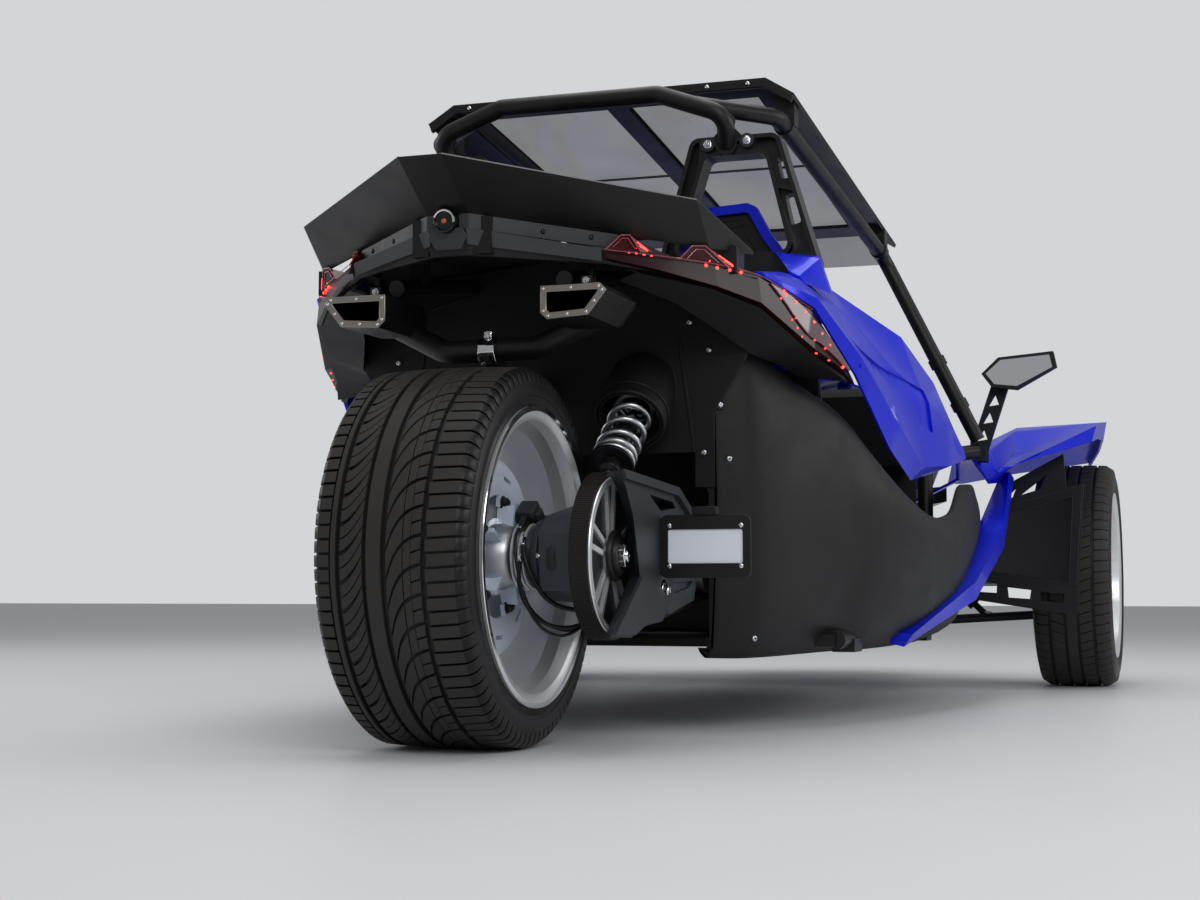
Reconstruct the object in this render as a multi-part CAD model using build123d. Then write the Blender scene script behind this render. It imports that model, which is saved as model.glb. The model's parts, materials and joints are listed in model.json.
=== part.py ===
from build123d import *
import math
import os

# A three wheeled open car: two steered wheels in front, one driven wheel behind.
# Millimetres. X points forward, Y to the left and Z up.
# The pieces are drawn with X = 0 at the rear axle and Z = 0 on the ground, and moved
# at the end so that the origin lies on the ground under the middle of the car.

# Overall sizes
LENGTH = 3800.0            # back of the rear tyre to the tip of the nose
WHEELBASE = 2667.0
FRONT_TRACK = 1755.0       # between the middles of the front tyres

# Wheels and tyres
REAR_TYRE_R = 345.5
REAR_TYRE_WIDTH = 285.0
REAR_BEAD_R = 254.0
REAR_RIM_WIDTH = 279.0
FRONT_TYRE_R = 330.0
FRONT_TYRE_WIDTH = 225.0
FRONT_BEAD_R = 228.6
FRONT_RIM_WIDTH = 205.0
TYRE_SHOULDER = 17.0       # tread's edge to the widest place of the side, across and down
TYRE_SHOULDER_DEPTH = 48.0
RIM_LIP = 17.4             # how far a rim's lip stands above the bead
RIM_WALL = 8.0
SPOKE_COUNT = 10

# Steering
KINGPIN_Y = 830.0
KINGPIN_R = 9.0
LOWER_BALL_Z = 215.0
UPPER_BALL_Z = 440.0
BALL_BOSS_R = 20.0
BALL_BOSS_HALF = 15.0
STEER_ARM = 120.0          # kingpin to the tie rod's eye
RACK_R = 16.0
RACK_HOUSING_R = 26.0
RACK_HOUSING_HALF = 200.0
TIE_ROD_R = 8.0
WHEEL_RIM_R = 170.0        # steering wheel
WHEEL_GRIP_R = 15.0

# Rear drive
SPINDLE_R = 26.0
CARRIER_R = 55.0
PULLEY_R = 140.0
BELT_WIDTH = 34.0
BELT_THICK = 8.0
SPROCKET_R = 48.0

# Walls and tubes
PANEL = 6.0                # body panels
TUB_WALL = 6.0
TUBE_R = 20.0              # main tubes of the space frame
CROSS_R = 17.0             # cross tubes
TAIL_TUBE_R = 16.0
PILLAR_R = 19.0            # roof side tube and pillar
HOOP_TUBE_R = 19.0
ROOF_WALL = 9.0
PANE = 5.0

# Clearances
SEAT_GAP = 0.3             # between pieces that rest on each other
RUN_GAP = 0.4              # between a pin or shaft and its bore

SEAM_SIDE = (0.31, 0.52, 0.79)   # a round bar's seam lies square to this

FRONT_X = WHEELBASE
NOSE_X = LENGTH - REAR_TYRE_R
MIDDLE_X = LENGTH / 2 - REAR_TYRE_R
REAR_AXLE_Z = REAR_TYRE_R
FRONT_AXLE_Z = FRONT_TYRE_R
FRONT_WHEEL_Y = FRONT_TRACK / 2


def offset_line(line, distance):
    """A line of (y, z) points moved sideways, to the right of its direction."""
    moved = []
    last = len(line) - 1
    for i, (y, z) in enumerate(line):
        normals = []
        for j in (i - 1, i):
            if 0 <= j < last:
                dy, dz = line[j + 1][0] - line[j][0], line[j + 1][1] - line[j][1]
                size = math.hypot(dy, dz)
                normals.append((dz / size, -dy / size))
        ny = sum(n[0] for n in normals) / len(normals)
        nz = sum(n[1] for n in normals) / len(normals)
        scale = distance / (ny * ny + nz * nz)
        moved.append((y + ny * scale, z + nz * scale))
    return moved


def offset_ring(ring, distance):
    """A closed ring of corners moved inwards, or outwards by a negative distance."""
    moved = offset_line([ring[-1]] + ring + [ring[0]], distance)
    return moved[1:-1]


def loft_x(rows):
    """A solid through sections across X, each row an x and its (y, z) corners."""
    wires = [Wire.make_polygon([Vector(x, y, z) for y, z in ring], close=True) for x, ring in rows]
    return Solid.make_loft(wires, ruled=True)


def skin(rows, thick):
    """A panel: each row is an x and the outer (y, z) line, with the wall on its right."""
    return loft_x([(x, line + offset_line(line, thick)[::-1]) for x, line in rows])


def loft_y(rows):
    """A solid through sections across Y, each row a y and its (x, z) corners."""
    wires = [Wire.make_polygon([Vector(x, y, z) for x, z in ring], close=True) for y, ring in rows]
    return Solid.make_loft(wires, ruled=True)


def slab(points, along):
    """A flat outline of 3-D points pushed along a vector."""
    face = Face(Wire.make_polygon([Vector(*p) for p in points], close=True))
    return Solid.extrude(face, Vector(*along))


def slab_y(outline, y0, y1):
    return slab([(x, y0, z) for x, z in outline], (0, y1 - y0, 0))


def slab_x(outline, x0, x1):
    return slab([(x0, y, z) for y, z in outline], (x1 - x0, 0, 0))


def slab_z(outline, z0, z1):
    return slab([(x, y, z0) for x, y in outline], (0, 0, z1 - z0))


def block(x0, x1, y0, y1, z0, z1):
    return slab_z([(x0, y0), (x1, y0), (x1, y1), (x0, y1)], z0, z1)


def rod(start, end, radius):
    """A round bar between two points, its seam turned away from where bars meet."""
    a, b = Vector(*start), Vector(*end)
    plane = Plane(origin=a, x_dir=(b - a).cross(Vector(*SEAM_SIDE)), z_dir=b - a)
    return Solid.make_cylinder(radius, (b - a).length, plane)


def ring_y(radius, y0, y1, x=0.0, z=0.0):
    """A round bar across the car."""
    return rod((x, y0, z), (x, y1, z), radius)


def bar(start, end, width, thick):
    """A flat bar between two points, its width as level as it can be."""
    a, b = Vector(*start), Vector(*end)
    along = b - a
    side = Vector(0, 0, 1).cross(along)
    if side.length < 1e-6:
        side = Vector(0, 1, 0)
    plane = Plane(origin=a, x_dir=side, z_dir=along)
    face = Face(Wire.make_polygon([
        plane.from_local_coords(Vector(sx * width / 2, sy * thick / 2, 0))
        for sx, sy in ((-1, -1), (1, -1), (1, 1), (-1, 1))], close=True))
    return Solid.extrude(face, along)


def bent_tube(points, radius, bend):
    """A round bar through points, with an arc at each inner point."""
    path = FilletPolyline(*points, radius=bend)
    start = Vector(*points[0])
    direction = Vector(*points[1]) - start
    face = Plane(origin=start, z_dir=direction) * Circle(radius)
    return sweep(face, path=path).solid()


def turned(profile, x, z, y=0.0):
    """A solid of revolution about an axis across the car; profile of (r, y) corners."""
    wire = Wire.make_polygon([Vector(r, b, 0) for r, b in profile], close=True)
    solid = Solid.revolve(Face(wire), 360, Axis.Y)
    return solid.moved(Location((x, y, z)))


def fuse(first, *others):
    """One solid out of pieces that meet."""
    whole = first
    for other in others:
        whole = whole + other
    return whole


def largest(shape):
    """The biggest solid of a shape, for a piece trimmed by its neighbour."""
    return max(shape.solids(), key=lambda s: s.volume)


def mirrored(shape):
    return mirror(shape, about=Plane.XZ)


def both(shape):
    return Compound(children=[shape, mirrored(shape)])


# Space frame
# Brackets on other pieces use these places too.
POST_X = 700.0
POST_Y = 300.0
POST_TOP = 960.0
HOOP_HALF = 30.0           # half a roll hoop's depth along X
HOOP_REACH = 470.0         # half the cross tube that the hoops stand on
LOWER_RAIL_Z = 182.0
SILL_RAIL_Y = 540.0
COWL_X = FRONT_X - 767.0
COWL_Z = 640.0
FRONT_RAIL_Y = 250.0
FRONT_LOOP_X = FRONT_X + 433.0
UPPER_RAIL_Z = 500.0
ARM_SPREAD = 180.0         # half the spread of a front arm's inner ends
TAIL_TUBE_Y = 170.0
TAIL_TUBE_END = (60.0, 858.0)
PIVOT_X = 545.0
PIVOT_Z = 325.0
PIVOT_HALF = 232.0
SPROCKET_X = 620.0
RACK_X = FRONT_X - STEER_ARM
RACK_Z = FRONT_AXLE_Z - 25.0
PILLAR_FOOT = (COWL_X + 56.0, 675.0, 689.0)
OUTRIGGER_DROP = 30.0
JACK_PAD_Z = 154.0
JACK_PADS_X = (820.0, COWL_X - 120.0)


def frame_lines():
    """The frame's tubes on the left side, as pairs of ends."""
    low, up = LOWER_RAIL_Z, UPPER_RAIL_Z
    rear_arm, front_arm = FRONT_X - ARM_SPREAD, FRONT_X + ARM_SPREAD
    foot = (PILLAR_FOOT[0], PILLAR_FOOT[1], PILLAR_FOOT[2] - OUTRIGGER_DROP)
    return [
        ((POST_X, POST_Y, low), (COWL_X, POST_Y, low)),
        ((COWL_X, POST_Y, low), (rear_arm, FRONT_RAIL_Y, low)),
        ((rear_arm, FRONT_RAIL_Y, low), (FRONT_LOOP_X, FRONT_RAIL_Y, low)),
        ((POST_X, SILL_RAIL_Y, low), (COWL_X, SILL_RAIL_Y, low)),
        ((COWL_X, SILL_RAIL_Y, low), (COWL_X, SILL_RAIL_Y, COWL_Z)),
        ((POST_X, POST_Y, low), (POST_X, POST_Y, POST_TOP)),
        ((COWL_X, POST_Y, COWL_Z), (rear_arm, FRONT_RAIL_Y, up)),
        ((rear_arm, FRONT_RAIL_Y, up), (FRONT_LOOP_X, FRONT_RAIL_Y, up)),
        ((rear_arm, FRONT_RAIL_Y, low), (rear_arm, FRONT_RAIL_Y, up)),
        ((front_arm, FRONT_RAIL_Y, low), (front_arm, FRONT_RAIL_Y, up)),
        ((FRONT_LOOP_X, FRONT_RAIL_Y, low), (FRONT_LOOP_X, FRONT_RAIL_Y, up)),
        ((COWL_X, SILL_RAIL_Y, COWL_Z), foot),
        ((POST_X, POST_Y, PIVOT_Z), (POST_X, PIVOT_HALF, PIVOT_Z)),
    ]


def frame_crosses():
    """The frame's cross tubes, as an x, a half width and a height."""
    low, up = LOWER_RAIL_Z, UPPER_RAIL_Z
    return [
        (POST_X, SILL_RAIL_Y, low),
        ((POST_X + COWL_X) / 2, SILL_RAIL_Y, low),
        (COWL_X, SILL_RAIL_Y, low),
        (FRONT_X - ARM_SPREAD, FRONT_RAIL_Y, low),
        (FRONT_X + ARM_SPREAD, FRONT_RAIL_Y, low),
        (FRONT_LOOP_X, FRONT_RAIL_Y, low),
        (FRONT_LOOP_X, FRONT_RAIL_Y, up),
        (COWL_X, SILL_RAIL_Y, COWL_Z),
        (POST_X, HOOP_REACH, POST_TOP),
    ]


def rail_y(x):
    """Half width of the lower rails at x."""
    rear_arm = FRONT_X - ARM_SPREAD
    share = min(1.0, max(0.0, (x - COWL_X) / (rear_arm - COWL_X)))
    return POST_Y + (FRONT_RAIL_Y - POST_Y) * share


def upper_rail_z(x):
    rear_arm = FRONT_X - ARM_SPREAD
    share = min(1.0, max(0.0, (x - COWL_X) / (rear_arm - COWL_X)))
    return COWL_Z + (UPPER_RAIL_Z - COWL_Z) * share


def tail_line():
    end_x, end_z = TAIL_TUBE_END
    return (POST_X, TAIL_TUBE_Y, POST_TOP), (end_x, TAIL_TUBE_Y, end_z)


def space_frame():
    pieces = []
    for start, end in frame_lines():
        tube = rod(start, end, TUBE_R)
        pieces += [tube, mirrored(tube)]
    for x, half, z in frame_crosses():
        pieces.append(ring_y(CROSS_R, -half, half, x, z))
    tail = rod(*tail_line(), TAIL_TUBE_R)
    pieces += [tail, mirrored(tail)]
    for side in (-1, 1):
        plate = slab_y([(PIVOT_X - 30, PIVOT_Z - 30), (POST_X + 10, PIVOT_Z - 45),
                        (POST_X + 10, PIVOT_Z + 45), (PIVOT_X - 30, PIVOT_Z + 30)],
                       side * PIVOT_HALF, side * (PIVOT_HALF + 12))
        pieces.append(plate - ring_y(18.0, -300, 300, SPROCKET_X, PIVOT_Z))
    housing = ring_y(RACK_HOUSING_R, -RACK_HOUSING_HALF, RACK_HOUSING_HALF, RACK_X, RACK_Z)
    for side in (-1, 1):
        y0, y1 = sorted((side * (RACK_HOUSING_HALF - 20), side * (FRONT_RAIL_Y - TUBE_R / 2)))
        housing += block(RACK_X - 12, RACK_X + 12, y0, y1, LOWER_RAIL_Z, RACK_Z - RACK_R - 4)
    for x in JACK_PADS_X:
        pad = block(x - 40, x + 40, SILL_RAIL_Y - 24, SILL_RAIL_Y + 24, JACK_PAD_Z, LOWER_RAIL_Z)
        pieces += [pad, mirrored(pad)]
    whole = fuse(*pieces)
    whole += housing
    return whole - ring_y(RACK_R + RUN_GAP, -RACK_HOUSING_HALF - 1, RACK_HOUSING_HALF + 1, RACK_X, RACK_Z)


def tube_hollows():
    """The frame's tubes grown by the seat gap, to cut saddles in what rests on them."""
    grown = [rod(a, b, TUBE_R + SEAT_GAP) for a, b in frame_lines()]
    grown += [mirrored(g) for g in grown]
    for x in JACK_PADS_X:
        pad = block(x - 41, x + 41, SILL_RAIL_Y - 25, SILL_RAIL_Y + 25, JACK_PAD_Z - 5, LOWER_RAIL_Z)
        grown += [pad, mirrored(pad)]
    grown += [ring_y(CROSS_R + SEAT_GAP, -h - SEAT_GAP, h + SEAT_GAP, x, z) for x, h, z in frame_crosses()]
    tail = rod(*tail_line(), TAIL_TUBE_R + SEAT_GAP)
    return grown + [tail, mirrored(tail)]


def saddled(shape):
    """The shape with the frame's tubes cut out of it."""
    bounds = shape.bounding_box()
    for tube in tube_hollows():
        other = tube.bounding_box()
        if all(getattr(bounds.min, k) < getattr(other.max, k) and
               getattr(other.min, k) < getattr(bounds.max, k) for k in "XYZ"):
            shape = shape - tube
    return shape


# Wheels

def tyre(radius, width, bead_r, rim_width, x, y, z):
    """A tyre whose side runs straight from the bead, past the rim's lip, to its widest place."""
    half = width / 2
    widest = radius - TYRE_SHOULDER_DEPTH
    lip_r, lip_y = bead_r + RIM_LIP, rim_width / 2 - SEAT_GAP
    bead_y = lip_y - (half - lip_y) * (RIM_LIP - SEAT_GAP) / (widest - lip_r)
    right = [(bead_r + SEAT_GAP, bead_y), (widest, half), (radius, half - TYRE_SHOULDER)]
    left = [(r, -b) for r, b in reversed(right)]
    return turned(right + left, x, z, y)


def rim(bead_r, width, face_y, hub_r, bore_r, x, y, z, well=14.0):
    """A barrel with lips, a hub disc and twin spokes that end in the barrel at face_y."""
    half = width / 2
    lip = bead_r + RIM_LIP
    drop = bead_r - well
    shelf = face_y - 36
    outer = [(lip, half + 6), (lip, half), (bead_r, half), (bead_r, shelf), (drop, shelf - 20),
             (drop, -half + 44), (bead_r, -half + 24), (bead_r, -half), (lip, -half), (lip, -half - 6)]
    inner = [(r - RIM_WALL, b) for r, b in outer]
    inner = [outer[0]] + [(lip - RIM_WALL, half + 6)] + inner[2:-2] + [(lip - RIM_WALL, -half - 6), outer[-1]]
    barrel = turned(outer + inner[1:-1][::-1], 0, 0)
    hub = turned([(bore_r, face_y), (bore_r, face_y - 40), (hub_r, face_y - 40), (hub_r, face_y)], 0, 0)
    reach = bead_r - RIM_WALL + 3
    pieces = []
    for i in range(SPOKE_COUNT):
        angle = 360.0 / SPOKE_COUNT * i
        for lean in (-1, 1):
            base, tip = lean * 5, lean * 20
            spoke = slab_y([(base - 7, hub_r - 6), (base + 7, hub_r - 6), (tip + 6, reach), (tip - 6, reach)],
                           face_y - 28, face_y - 4)
            pieces.append(spoke.rotate(Axis.Y, angle))
    return fuse(barrel, hub, *pieces).moved(Location((x, y, z)))


def disc(radius, bore_r, y0, y1, x, z):
    return turned([(bore_r, y0), (radius, y0), (radius, y1), (bore_r, y1)], x, z)


REAR_FACE_Y = 120.0        # spokes of the rear wheel, on the left
REAR_HUB_R = 70.0
PULLEY_Y = -270.0          # middle of the belt
CARRIER_Y = (-245.0, -110.0)
FRONT_FACE = 78.0          # spokes of a front wheel, outward of the tyre's middle
FRONT_HUB_R = 62.0
FRONT_SPINDLE_R = 20.0


def rear_rim():
    wheel = rim(REAR_BEAD_R, REAR_RIM_WIDTH, REAR_FACE_Y, REAR_HUB_R, 10.0, 0, 0, REAR_AXLE_Z)
    hub = ring_y(REAR_HUB_R, -60, REAR_FACE_Y - 20, 0, REAR_AXLE_Z)
    brake = disc(150, 40, -40, -30, 0, REAR_AXLE_Z)
    spindle = ring_y(SPINDLE_R, CARRIER_Y[0] - 4, -50, 0, REAR_AXLE_Z)
    return fuse(wheel, hub, brake, spindle)


def belt_pulley():
    axle = REAR_AXLE_Z
    y0, y1 = PULLEY_Y - BELT_WIDTH / 2, PULLEY_Y + BELT_WIDTH / 2
    ring = turned([(PULLEY_R - 12, y0), (PULLEY_R, y0), (PULLEY_R, y1), (PULLEY_R - 12, y1)], 0, axle)
    hub_end = CARRIER_Y[0] - 4
    hub = ring_y(34, y0 - 8, hub_end, 0, axle)
    nut = ring_y(20, y0 - 22, y0 - 8, 0, axle)
    pieces = [ring, hub, nut]
    for i in range(5):
        for lean in (-1, 1):
            spoke = slab_y([(lean * 8 - 5, 28), (lean * 8 + 5, 28), (lean * 22 + 5, PULLEY_R - 8),
                            (lean * 22 - 5, PULLEY_R - 8)], y0 + 4, y1 - 4)
            pieces.append(spoke.rotate(Axis.Y, 72.0 * i).moved(Location((0, 0, axle))))
    return fuse(*pieces)


def loop_outline(radius_back, radius_front):
    """The belt's line round the pulley and the sprocket, as a face across Y."""
    x0, z0, x1, z1 = 0.0, REAR_AXLE_Z, SPROCKET_X, PIVOT_Z
    span = math.hypot(x1 - x0, z1 - z0)
    base = math.atan2(z1 - z0, x1 - x0)
    lean = math.acos((radius_back - radius_front) / span)
    back = ring_y(radius_back, 0, BELT_WIDTH, x0, z0)
    front = ring_y(radius_front, 0, BELT_WIDTH, x1, z1)
    corners = []
    for cx, cz, r, turn in ((x0, z0, radius_back, 1), (x1, z1, radius_front, 1),
                            (x1, z1, radius_front, -1), (x0, z0, radius_back, -1)):
        angle = base + turn * lean
        corners.append((cx + r * math.cos(angle), cz + r * math.sin(angle)))
    return fuse(back, slab_y(corners, 0, BELT_WIDTH), front)


def drive_belt():
    outer = loop_outline(PULLEY_R + RUN_GAP + BELT_THICK, SPROCKET_R + RUN_GAP + BELT_THICK)
    inner = loop_outline(PULLEY_R + RUN_GAP, SPROCKET_R + RUN_GAP)
    return (outer - inner).moved(Location((0, PULLEY_Y - BELT_WIDTH / 2, 0)))


ARM_Y = (-228.0, -165.0)
SHOCK_Y = -200.0
SHOCK_LOW = (190.0, 480.0)
SHOCK_TOP = (470.0, 713.0)
GUARD_Y = (-330.0, -300.0)
PLATE_X = 150.0
PLATE_Y = -413.0
PLATE_Z = 362.0
PLATE_BOLTS_Y = 146.0
PLATE_BOLTS_Z = 70.0
PLATE_HOLE_R = 3.2


def swingarm():
    y0, y1 = ARM_Y
    axle = REAR_AXLE_Z
    arm = slab_y([(-50, axle - 62), (-60, axle + 40), (-20, axle + 72), (120, axle + 95), (330, axle + 62),
                  (500, PIVOT_Z + 40), (570, PIVOT_Z + 20), (570, PIVOT_Z - 20), (480, PIVOT_Z - 50),
                  (180, axle - 85), (0, axle - 80)], y0, y1)
    hub = ring_y(CARRIER_R, CARRIER_Y[0], CARRIER_Y[1], 0, axle)
    cross = block(420, 500, y0, -y0, PIVOT_Z - 35, PIVOT_Z + 30)
    pivot = ring_y(28, -PIVOT_HALF + SEAT_GAP, PIVOT_HALF - SEAT_GAP, PIVOT_X, PIVOT_Z)
    web = slab_y([(490, PIVOT_Z - 28), (545, PIVOT_Z - 20), (545, PIVOT_Z + 20), (490, PIVOT_Z + 26)], y0, -y0)
    lug_x, lug_z = SHOCK_LOW
    lug = slab_y([(lug_x - 34, axle + 60), (lug_x - 20, lug_z + 16), (lug_x + 20, lug_z + 16),
                  (lug_x + 50, axle + 60)], SHOCK_Y - 16, SHOCK_Y + 16)
    whole = fuse(arm, hub, cross, pivot, web, lug)
    pocket = slab_y([(60, axle - 40), (60, axle + 50), (150, axle + 62), (330, axle + 34), (400, PIVOT_Z + 12),
                     (330, axle - 52)], y1 - 18, y1 + 1)
    whole = whole - pocket
    whole = whole - ring_y(SPINDLE_R + RUN_GAP, CARRIER_Y[0] - 1, CARRIER_Y[1] + 1, 0, axle)
    boss = fuse(ring_y(18, GUARD_Y[1] + SEAT_GAP, y0 + 2, 300, PIVOT_Z + 20),
                ring_y(18, GUARD_Y[1] + SEAT_GAP, y0 + 2, 430, PIVOT_Z - 5))
    # The shin casting, low on the outer side, with a three-cornered pocket
    shin = slab_y([(204, 258), (222, 240), (392, 265), (406, 296), (404, 309), (256, 312)], -322, -296)
    sunk = slab_y([(236, 300), (388, 303), (354, 289), (266, 279)], -323, -314)
    stem = block(300, 340, -310, y0 + 2, 272, 306)
    return fuse(whole, boss, shin - sunk, stem)


# The guard's outer line: x, z, and how much further forward the line lies on the inner side
GUARD_LINE = [
    (-108, 491, 33), (235, 476, 15), (339, 433, 12), (352, 375, 10), (470, 330, 6), (455, 312, 6), (250, 318, 6),
    (192, 262, 4), (133, 226, 7), (30, 221, 20), (-32, 202, 12), (-150, 206, 60), (17, 309, 33), (-22, 414, 52),
    (-65, 466, 40),
]


def belt_guard():
    plate = loft_y([(GUARD_Y[0], [(x, z) for x, z, _ in GUARD_LINE]),
                    (GUARD_Y[1], [(x + dx, z) for x, z, dx in GUARD_LINE])])
    lip = slab_y([(-100, 494), (236, 479), (340, 436), (334, 422), (232, 463), (-86, 478)], GUARD_Y[0] - 9, GUARD_Y[0] + 1)
    window = slab_y([(72, 458), (222, 451), (240, 440), (146, 430)], GUARD_Y[0] - 1, GUARD_Y[1] + 1)
    hole = ring_y(20, GUARD_Y[0] - 1, GUARD_Y[1] + 1, 163, 285)
    fold = slab_y([(17, 309), (128, 290), (186, 262), (133, 228), (32, 223), (-28, 206), (-138, 209)],
                  GUARD_Y[0] - 6, GUARD_Y[0] + 1)
    plate = fuse(plate, lip, fold)
    x = PLATE_X
    y0, y1 = PLATE_Y - 70, GUARD_Y[0] + 1
    bracket = slab_x([(PLATE_Y - 85, PLATE_Z - 50), (y1, PLATE_Z - 50), (y1, PLATE_Z + 50), (PLATE_Y - 85, PLATE_Z + 50)],
                     x, x + 4)
    for dy in (-PLATE_BOLTS_Y / 2, PLATE_BOLTS_Y / 2):
        for dz in (-PLATE_BOLTS_Z / 2, PLATE_BOLTS_Z / 2):
            a = (x - 1, PLATE_Y + dy, PLATE_Z + dz)
            bracket = bracket - rod(a, (x + 5, a[1], a[2]), PLATE_HOLE_R)
    return plate - window - hole + bracket


def shock_parts(low, top, coil_r, damper_r, share):
    """A coil-over: damper body, rod, two perches and the coil's outer form."""
    a, b = Vector(*low), Vector(*top)

    def along(t):
        p = a + (b - a) * t
        return p.X, p.Y, p.Z

    return fuse(rod(low, top, damper_r * 0.5),
                rod(along(0.10), along(0.52), damper_r),
                rod(along(0.16), along(0.18), coil_r + 4),
                rod(along(0.18), along(share), coil_r),
                rod(along(share), along(share + 0.04), coil_r + 2))


def rear_shock():
    low, along = shock_axis()
    top = (SHOCK_TOP[0], SHOCK_Y, SHOCK_TOP[1])
    body = shock_parts(tuple(low + along * 24), top, 45, 24, 0.80)
    foot = rod(tuple(low), tuple(low + along * 30), 12)
    whole = fuse(body, foot, ring_y(17, SHOCK_Y - 15, SHOCK_Y + 15, top[0], top[2]))
    lug_x, lug_z = SHOCK_LOW
    return whole - block(lug_x - 60, lug_x + 60, SHOCK_Y - 60, SHOCK_Y + 60, lug_z - 60, lug_z + 16 + SEAT_GAP)


# Front suspension and steering

def front_arms(y_sign=1):
    z_low, z_up = LOWER_BALL_Z, UPPER_BALL_Z
    pieces = []
    for z, rail_z, spread in ((z_low, LOWER_RAIL_Z, ARM_SPREAD), (z_up, UPPER_RAIL_Z, ARM_SPREAD)):
        for side in (-1, 1):
            pieces.append(rod((FRONT_X + side * spread, FRONT_RAIL_Y, rail_z), (FRONT_X, KINGPIN_Y, z), 13))
        pieces.append(rod((FRONT_X, KINGPIN_Y, z - BALL_BOSS_HALF), (FRONT_X, KINGPIN_Y, z + BALL_BOSS_HALF),
                          BALL_BOSS_R))
    tie = (FRONT_RAIL_Y + KINGPIN_Y) / 2 + 60
    pieces.append(rod((FRONT_X - 75, tie, z_low - 6), (FRONT_X + 75, tie, z_low - 6), 11))
    shock_low = (FRONT_X, tie, z_low - 6)
    shock_top = (FRONT_X, FRONT_RAIL_Y + 15, UPPER_RAIL_Z + 30)
    pieces.append(shock_parts(shock_low, shock_top, 34, 20, 0.72))
    pieces.append(rod((FRONT_X - 20, FRONT_RAIL_Y + 15, UPPER_RAIL_Z + 30),
                      (FRONT_X + 20, FRONT_RAIL_Y + 15, UPPER_RAIL_Z + 30), 16))
    whole = fuse(*pieces)
    for z in (z_low, z_up):
        whole = whole - rod((FRONT_X, KINGPIN_Y, z - 40), (FRONT_X, KINGPIN_Y, z + 40), KINGPIN_R + RUN_GAP)
    return saddled(whole)


def knuckle():
    lug_gap = 5.0
    lug = 15.0
    low = LOWER_BALL_Z + BALL_BOSS_HALF + lug_gap
    up = UPPER_BALL_Z - BALL_BOSS_HALF - lug_gap
    y = KINGPIN_Y
    face = FRONT_WHEEL_Y + FRONT_FACE - 40
    pieces = [
        rod((FRONT_X, y, low), (FRONT_X, y, low + lug), BALL_BOSS_R),
        rod((FRONT_X, y, up - lug), (FRONT_X, y, up), BALL_BOSS_R),
        rod((FRONT_X, y, LOWER_BALL_Z - 10), (FRONT_X, y, low + 1), KINGPIN_R),
        rod((FRONT_X, y, up - 1), (FRONT_X, y, UPPER_BALL_Z + 10), KINGPIN_R),
        block(FRONT_X - 22, FRONT_X + 22, y + 6, y + 36, low, up),
        rod((FRONT_X, y + 20, FRONT_AXLE_Z), (FRONT_X, face - 6, FRONT_AXLE_Z), FRONT_SPINDLE_R),
        rod((FRONT_X, y + 10, FRONT_AXLE_Z), (FRONT_X, y + 44, FRONT_AXLE_Z), 42),
        slab_z([(FRONT_X, y - 14), (FRONT_X - STEER_ARM, y - 12), (FRONT_X - STEER_ARM, y + 12),
                (FRONT_X, y + 30)], FRONT_AXLE_Z - 8, FRONT_AXLE_Z + 8),
    ]
    return fuse(*pieces)


def front_rim():
    y = FRONT_WHEEL_Y
    wheel = rim(FRONT_BEAD_R, FRONT_RIM_WIDTH, FRONT_FACE, FRONT_HUB_R, 8.0, FRONT_X, y, FRONT_AXLE_Z)
    hub = disc(FRONT_HUB_R, FRONT_SPINDLE_R + RUN_GAP, y + 14, y + FRONT_FACE - 38, FRONT_X, FRONT_AXLE_Z)
    brake = disc(140, 50, y + 8, y + 16, FRONT_X, FRONT_AXLE_Z)
    return fuse(wheel, hub, brake)


def steering_rack():
    pieces = [ring_y(RACK_R, -RACK_HOUSING_HALF - 75, RACK_HOUSING_HALF + 75, RACK_X, RACK_Z)]
    for side in (-1, 1):
        y0, y1 = side * (RACK_HOUSING_HALF + 60), side * KINGPIN_Y
        pieces.append(ring_y(TIE_ROD_R, min(y0, y1), max(y0, y1), RACK_X, RACK_Z))
    return fuse(*pieces)


STEER_Y = 300.0
STEER_HUB = (COWL_X - 400.0, 855.0)
STEER_RAKE = 24.0          # degrees that the column slopes down to the front
COLUMN_R = 22.0


def steer_point(distance):
    """A point on the column, ahead of the steering wheel's hub."""
    x, z = STEER_HUB
    rake = math.radians(STEER_RAKE)
    return x + distance * math.cos(rake), STEER_Y, z - distance * math.sin(rake)


def steering_wheel():
    hub = Vector(*steer_point(0))
    axis = Vector(*steer_point(1)) - hub
    plane = Plane(origin=hub, x_dir=(0, 1, 0), z_dir=axis)
    section = [(WHEEL_RIM_R + WHEEL_GRIP_R * math.cos(math.pi * (i + 0.5) / 4),
                WHEEL_GRIP_R * math.sin(math.pi * (i + 0.5) / 4)) for i in range(8)]
    corners = [hub + plane.x_dir * r + axis * d for r, d in section]
    grip = Solid.revolve(Face(Wire.make_polygon(corners, close=True)), 360, Axis(hub, axis))
    boss = rod(steer_point(-22), steer_point(30), 42)
    shaft = rod(steer_point(20), steer_point(150), 12)
    spokes = []
    for turn in (0, 180, 270):
        direction = plane.x_dir * math.cos(math.radians(turn)) + plane.y_dir * math.sin(math.radians(turn))
        a = hub + direction * 30
        b = hub + direction * (WHEEL_RIM_R - 4)
        spokes.append(bar((a.X, a.Y, a.Z), (b.X, b.Y, b.Z), 30, 12))
    return fuse(grip, boss, shaft, *spokes)


# Cockpit

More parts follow.
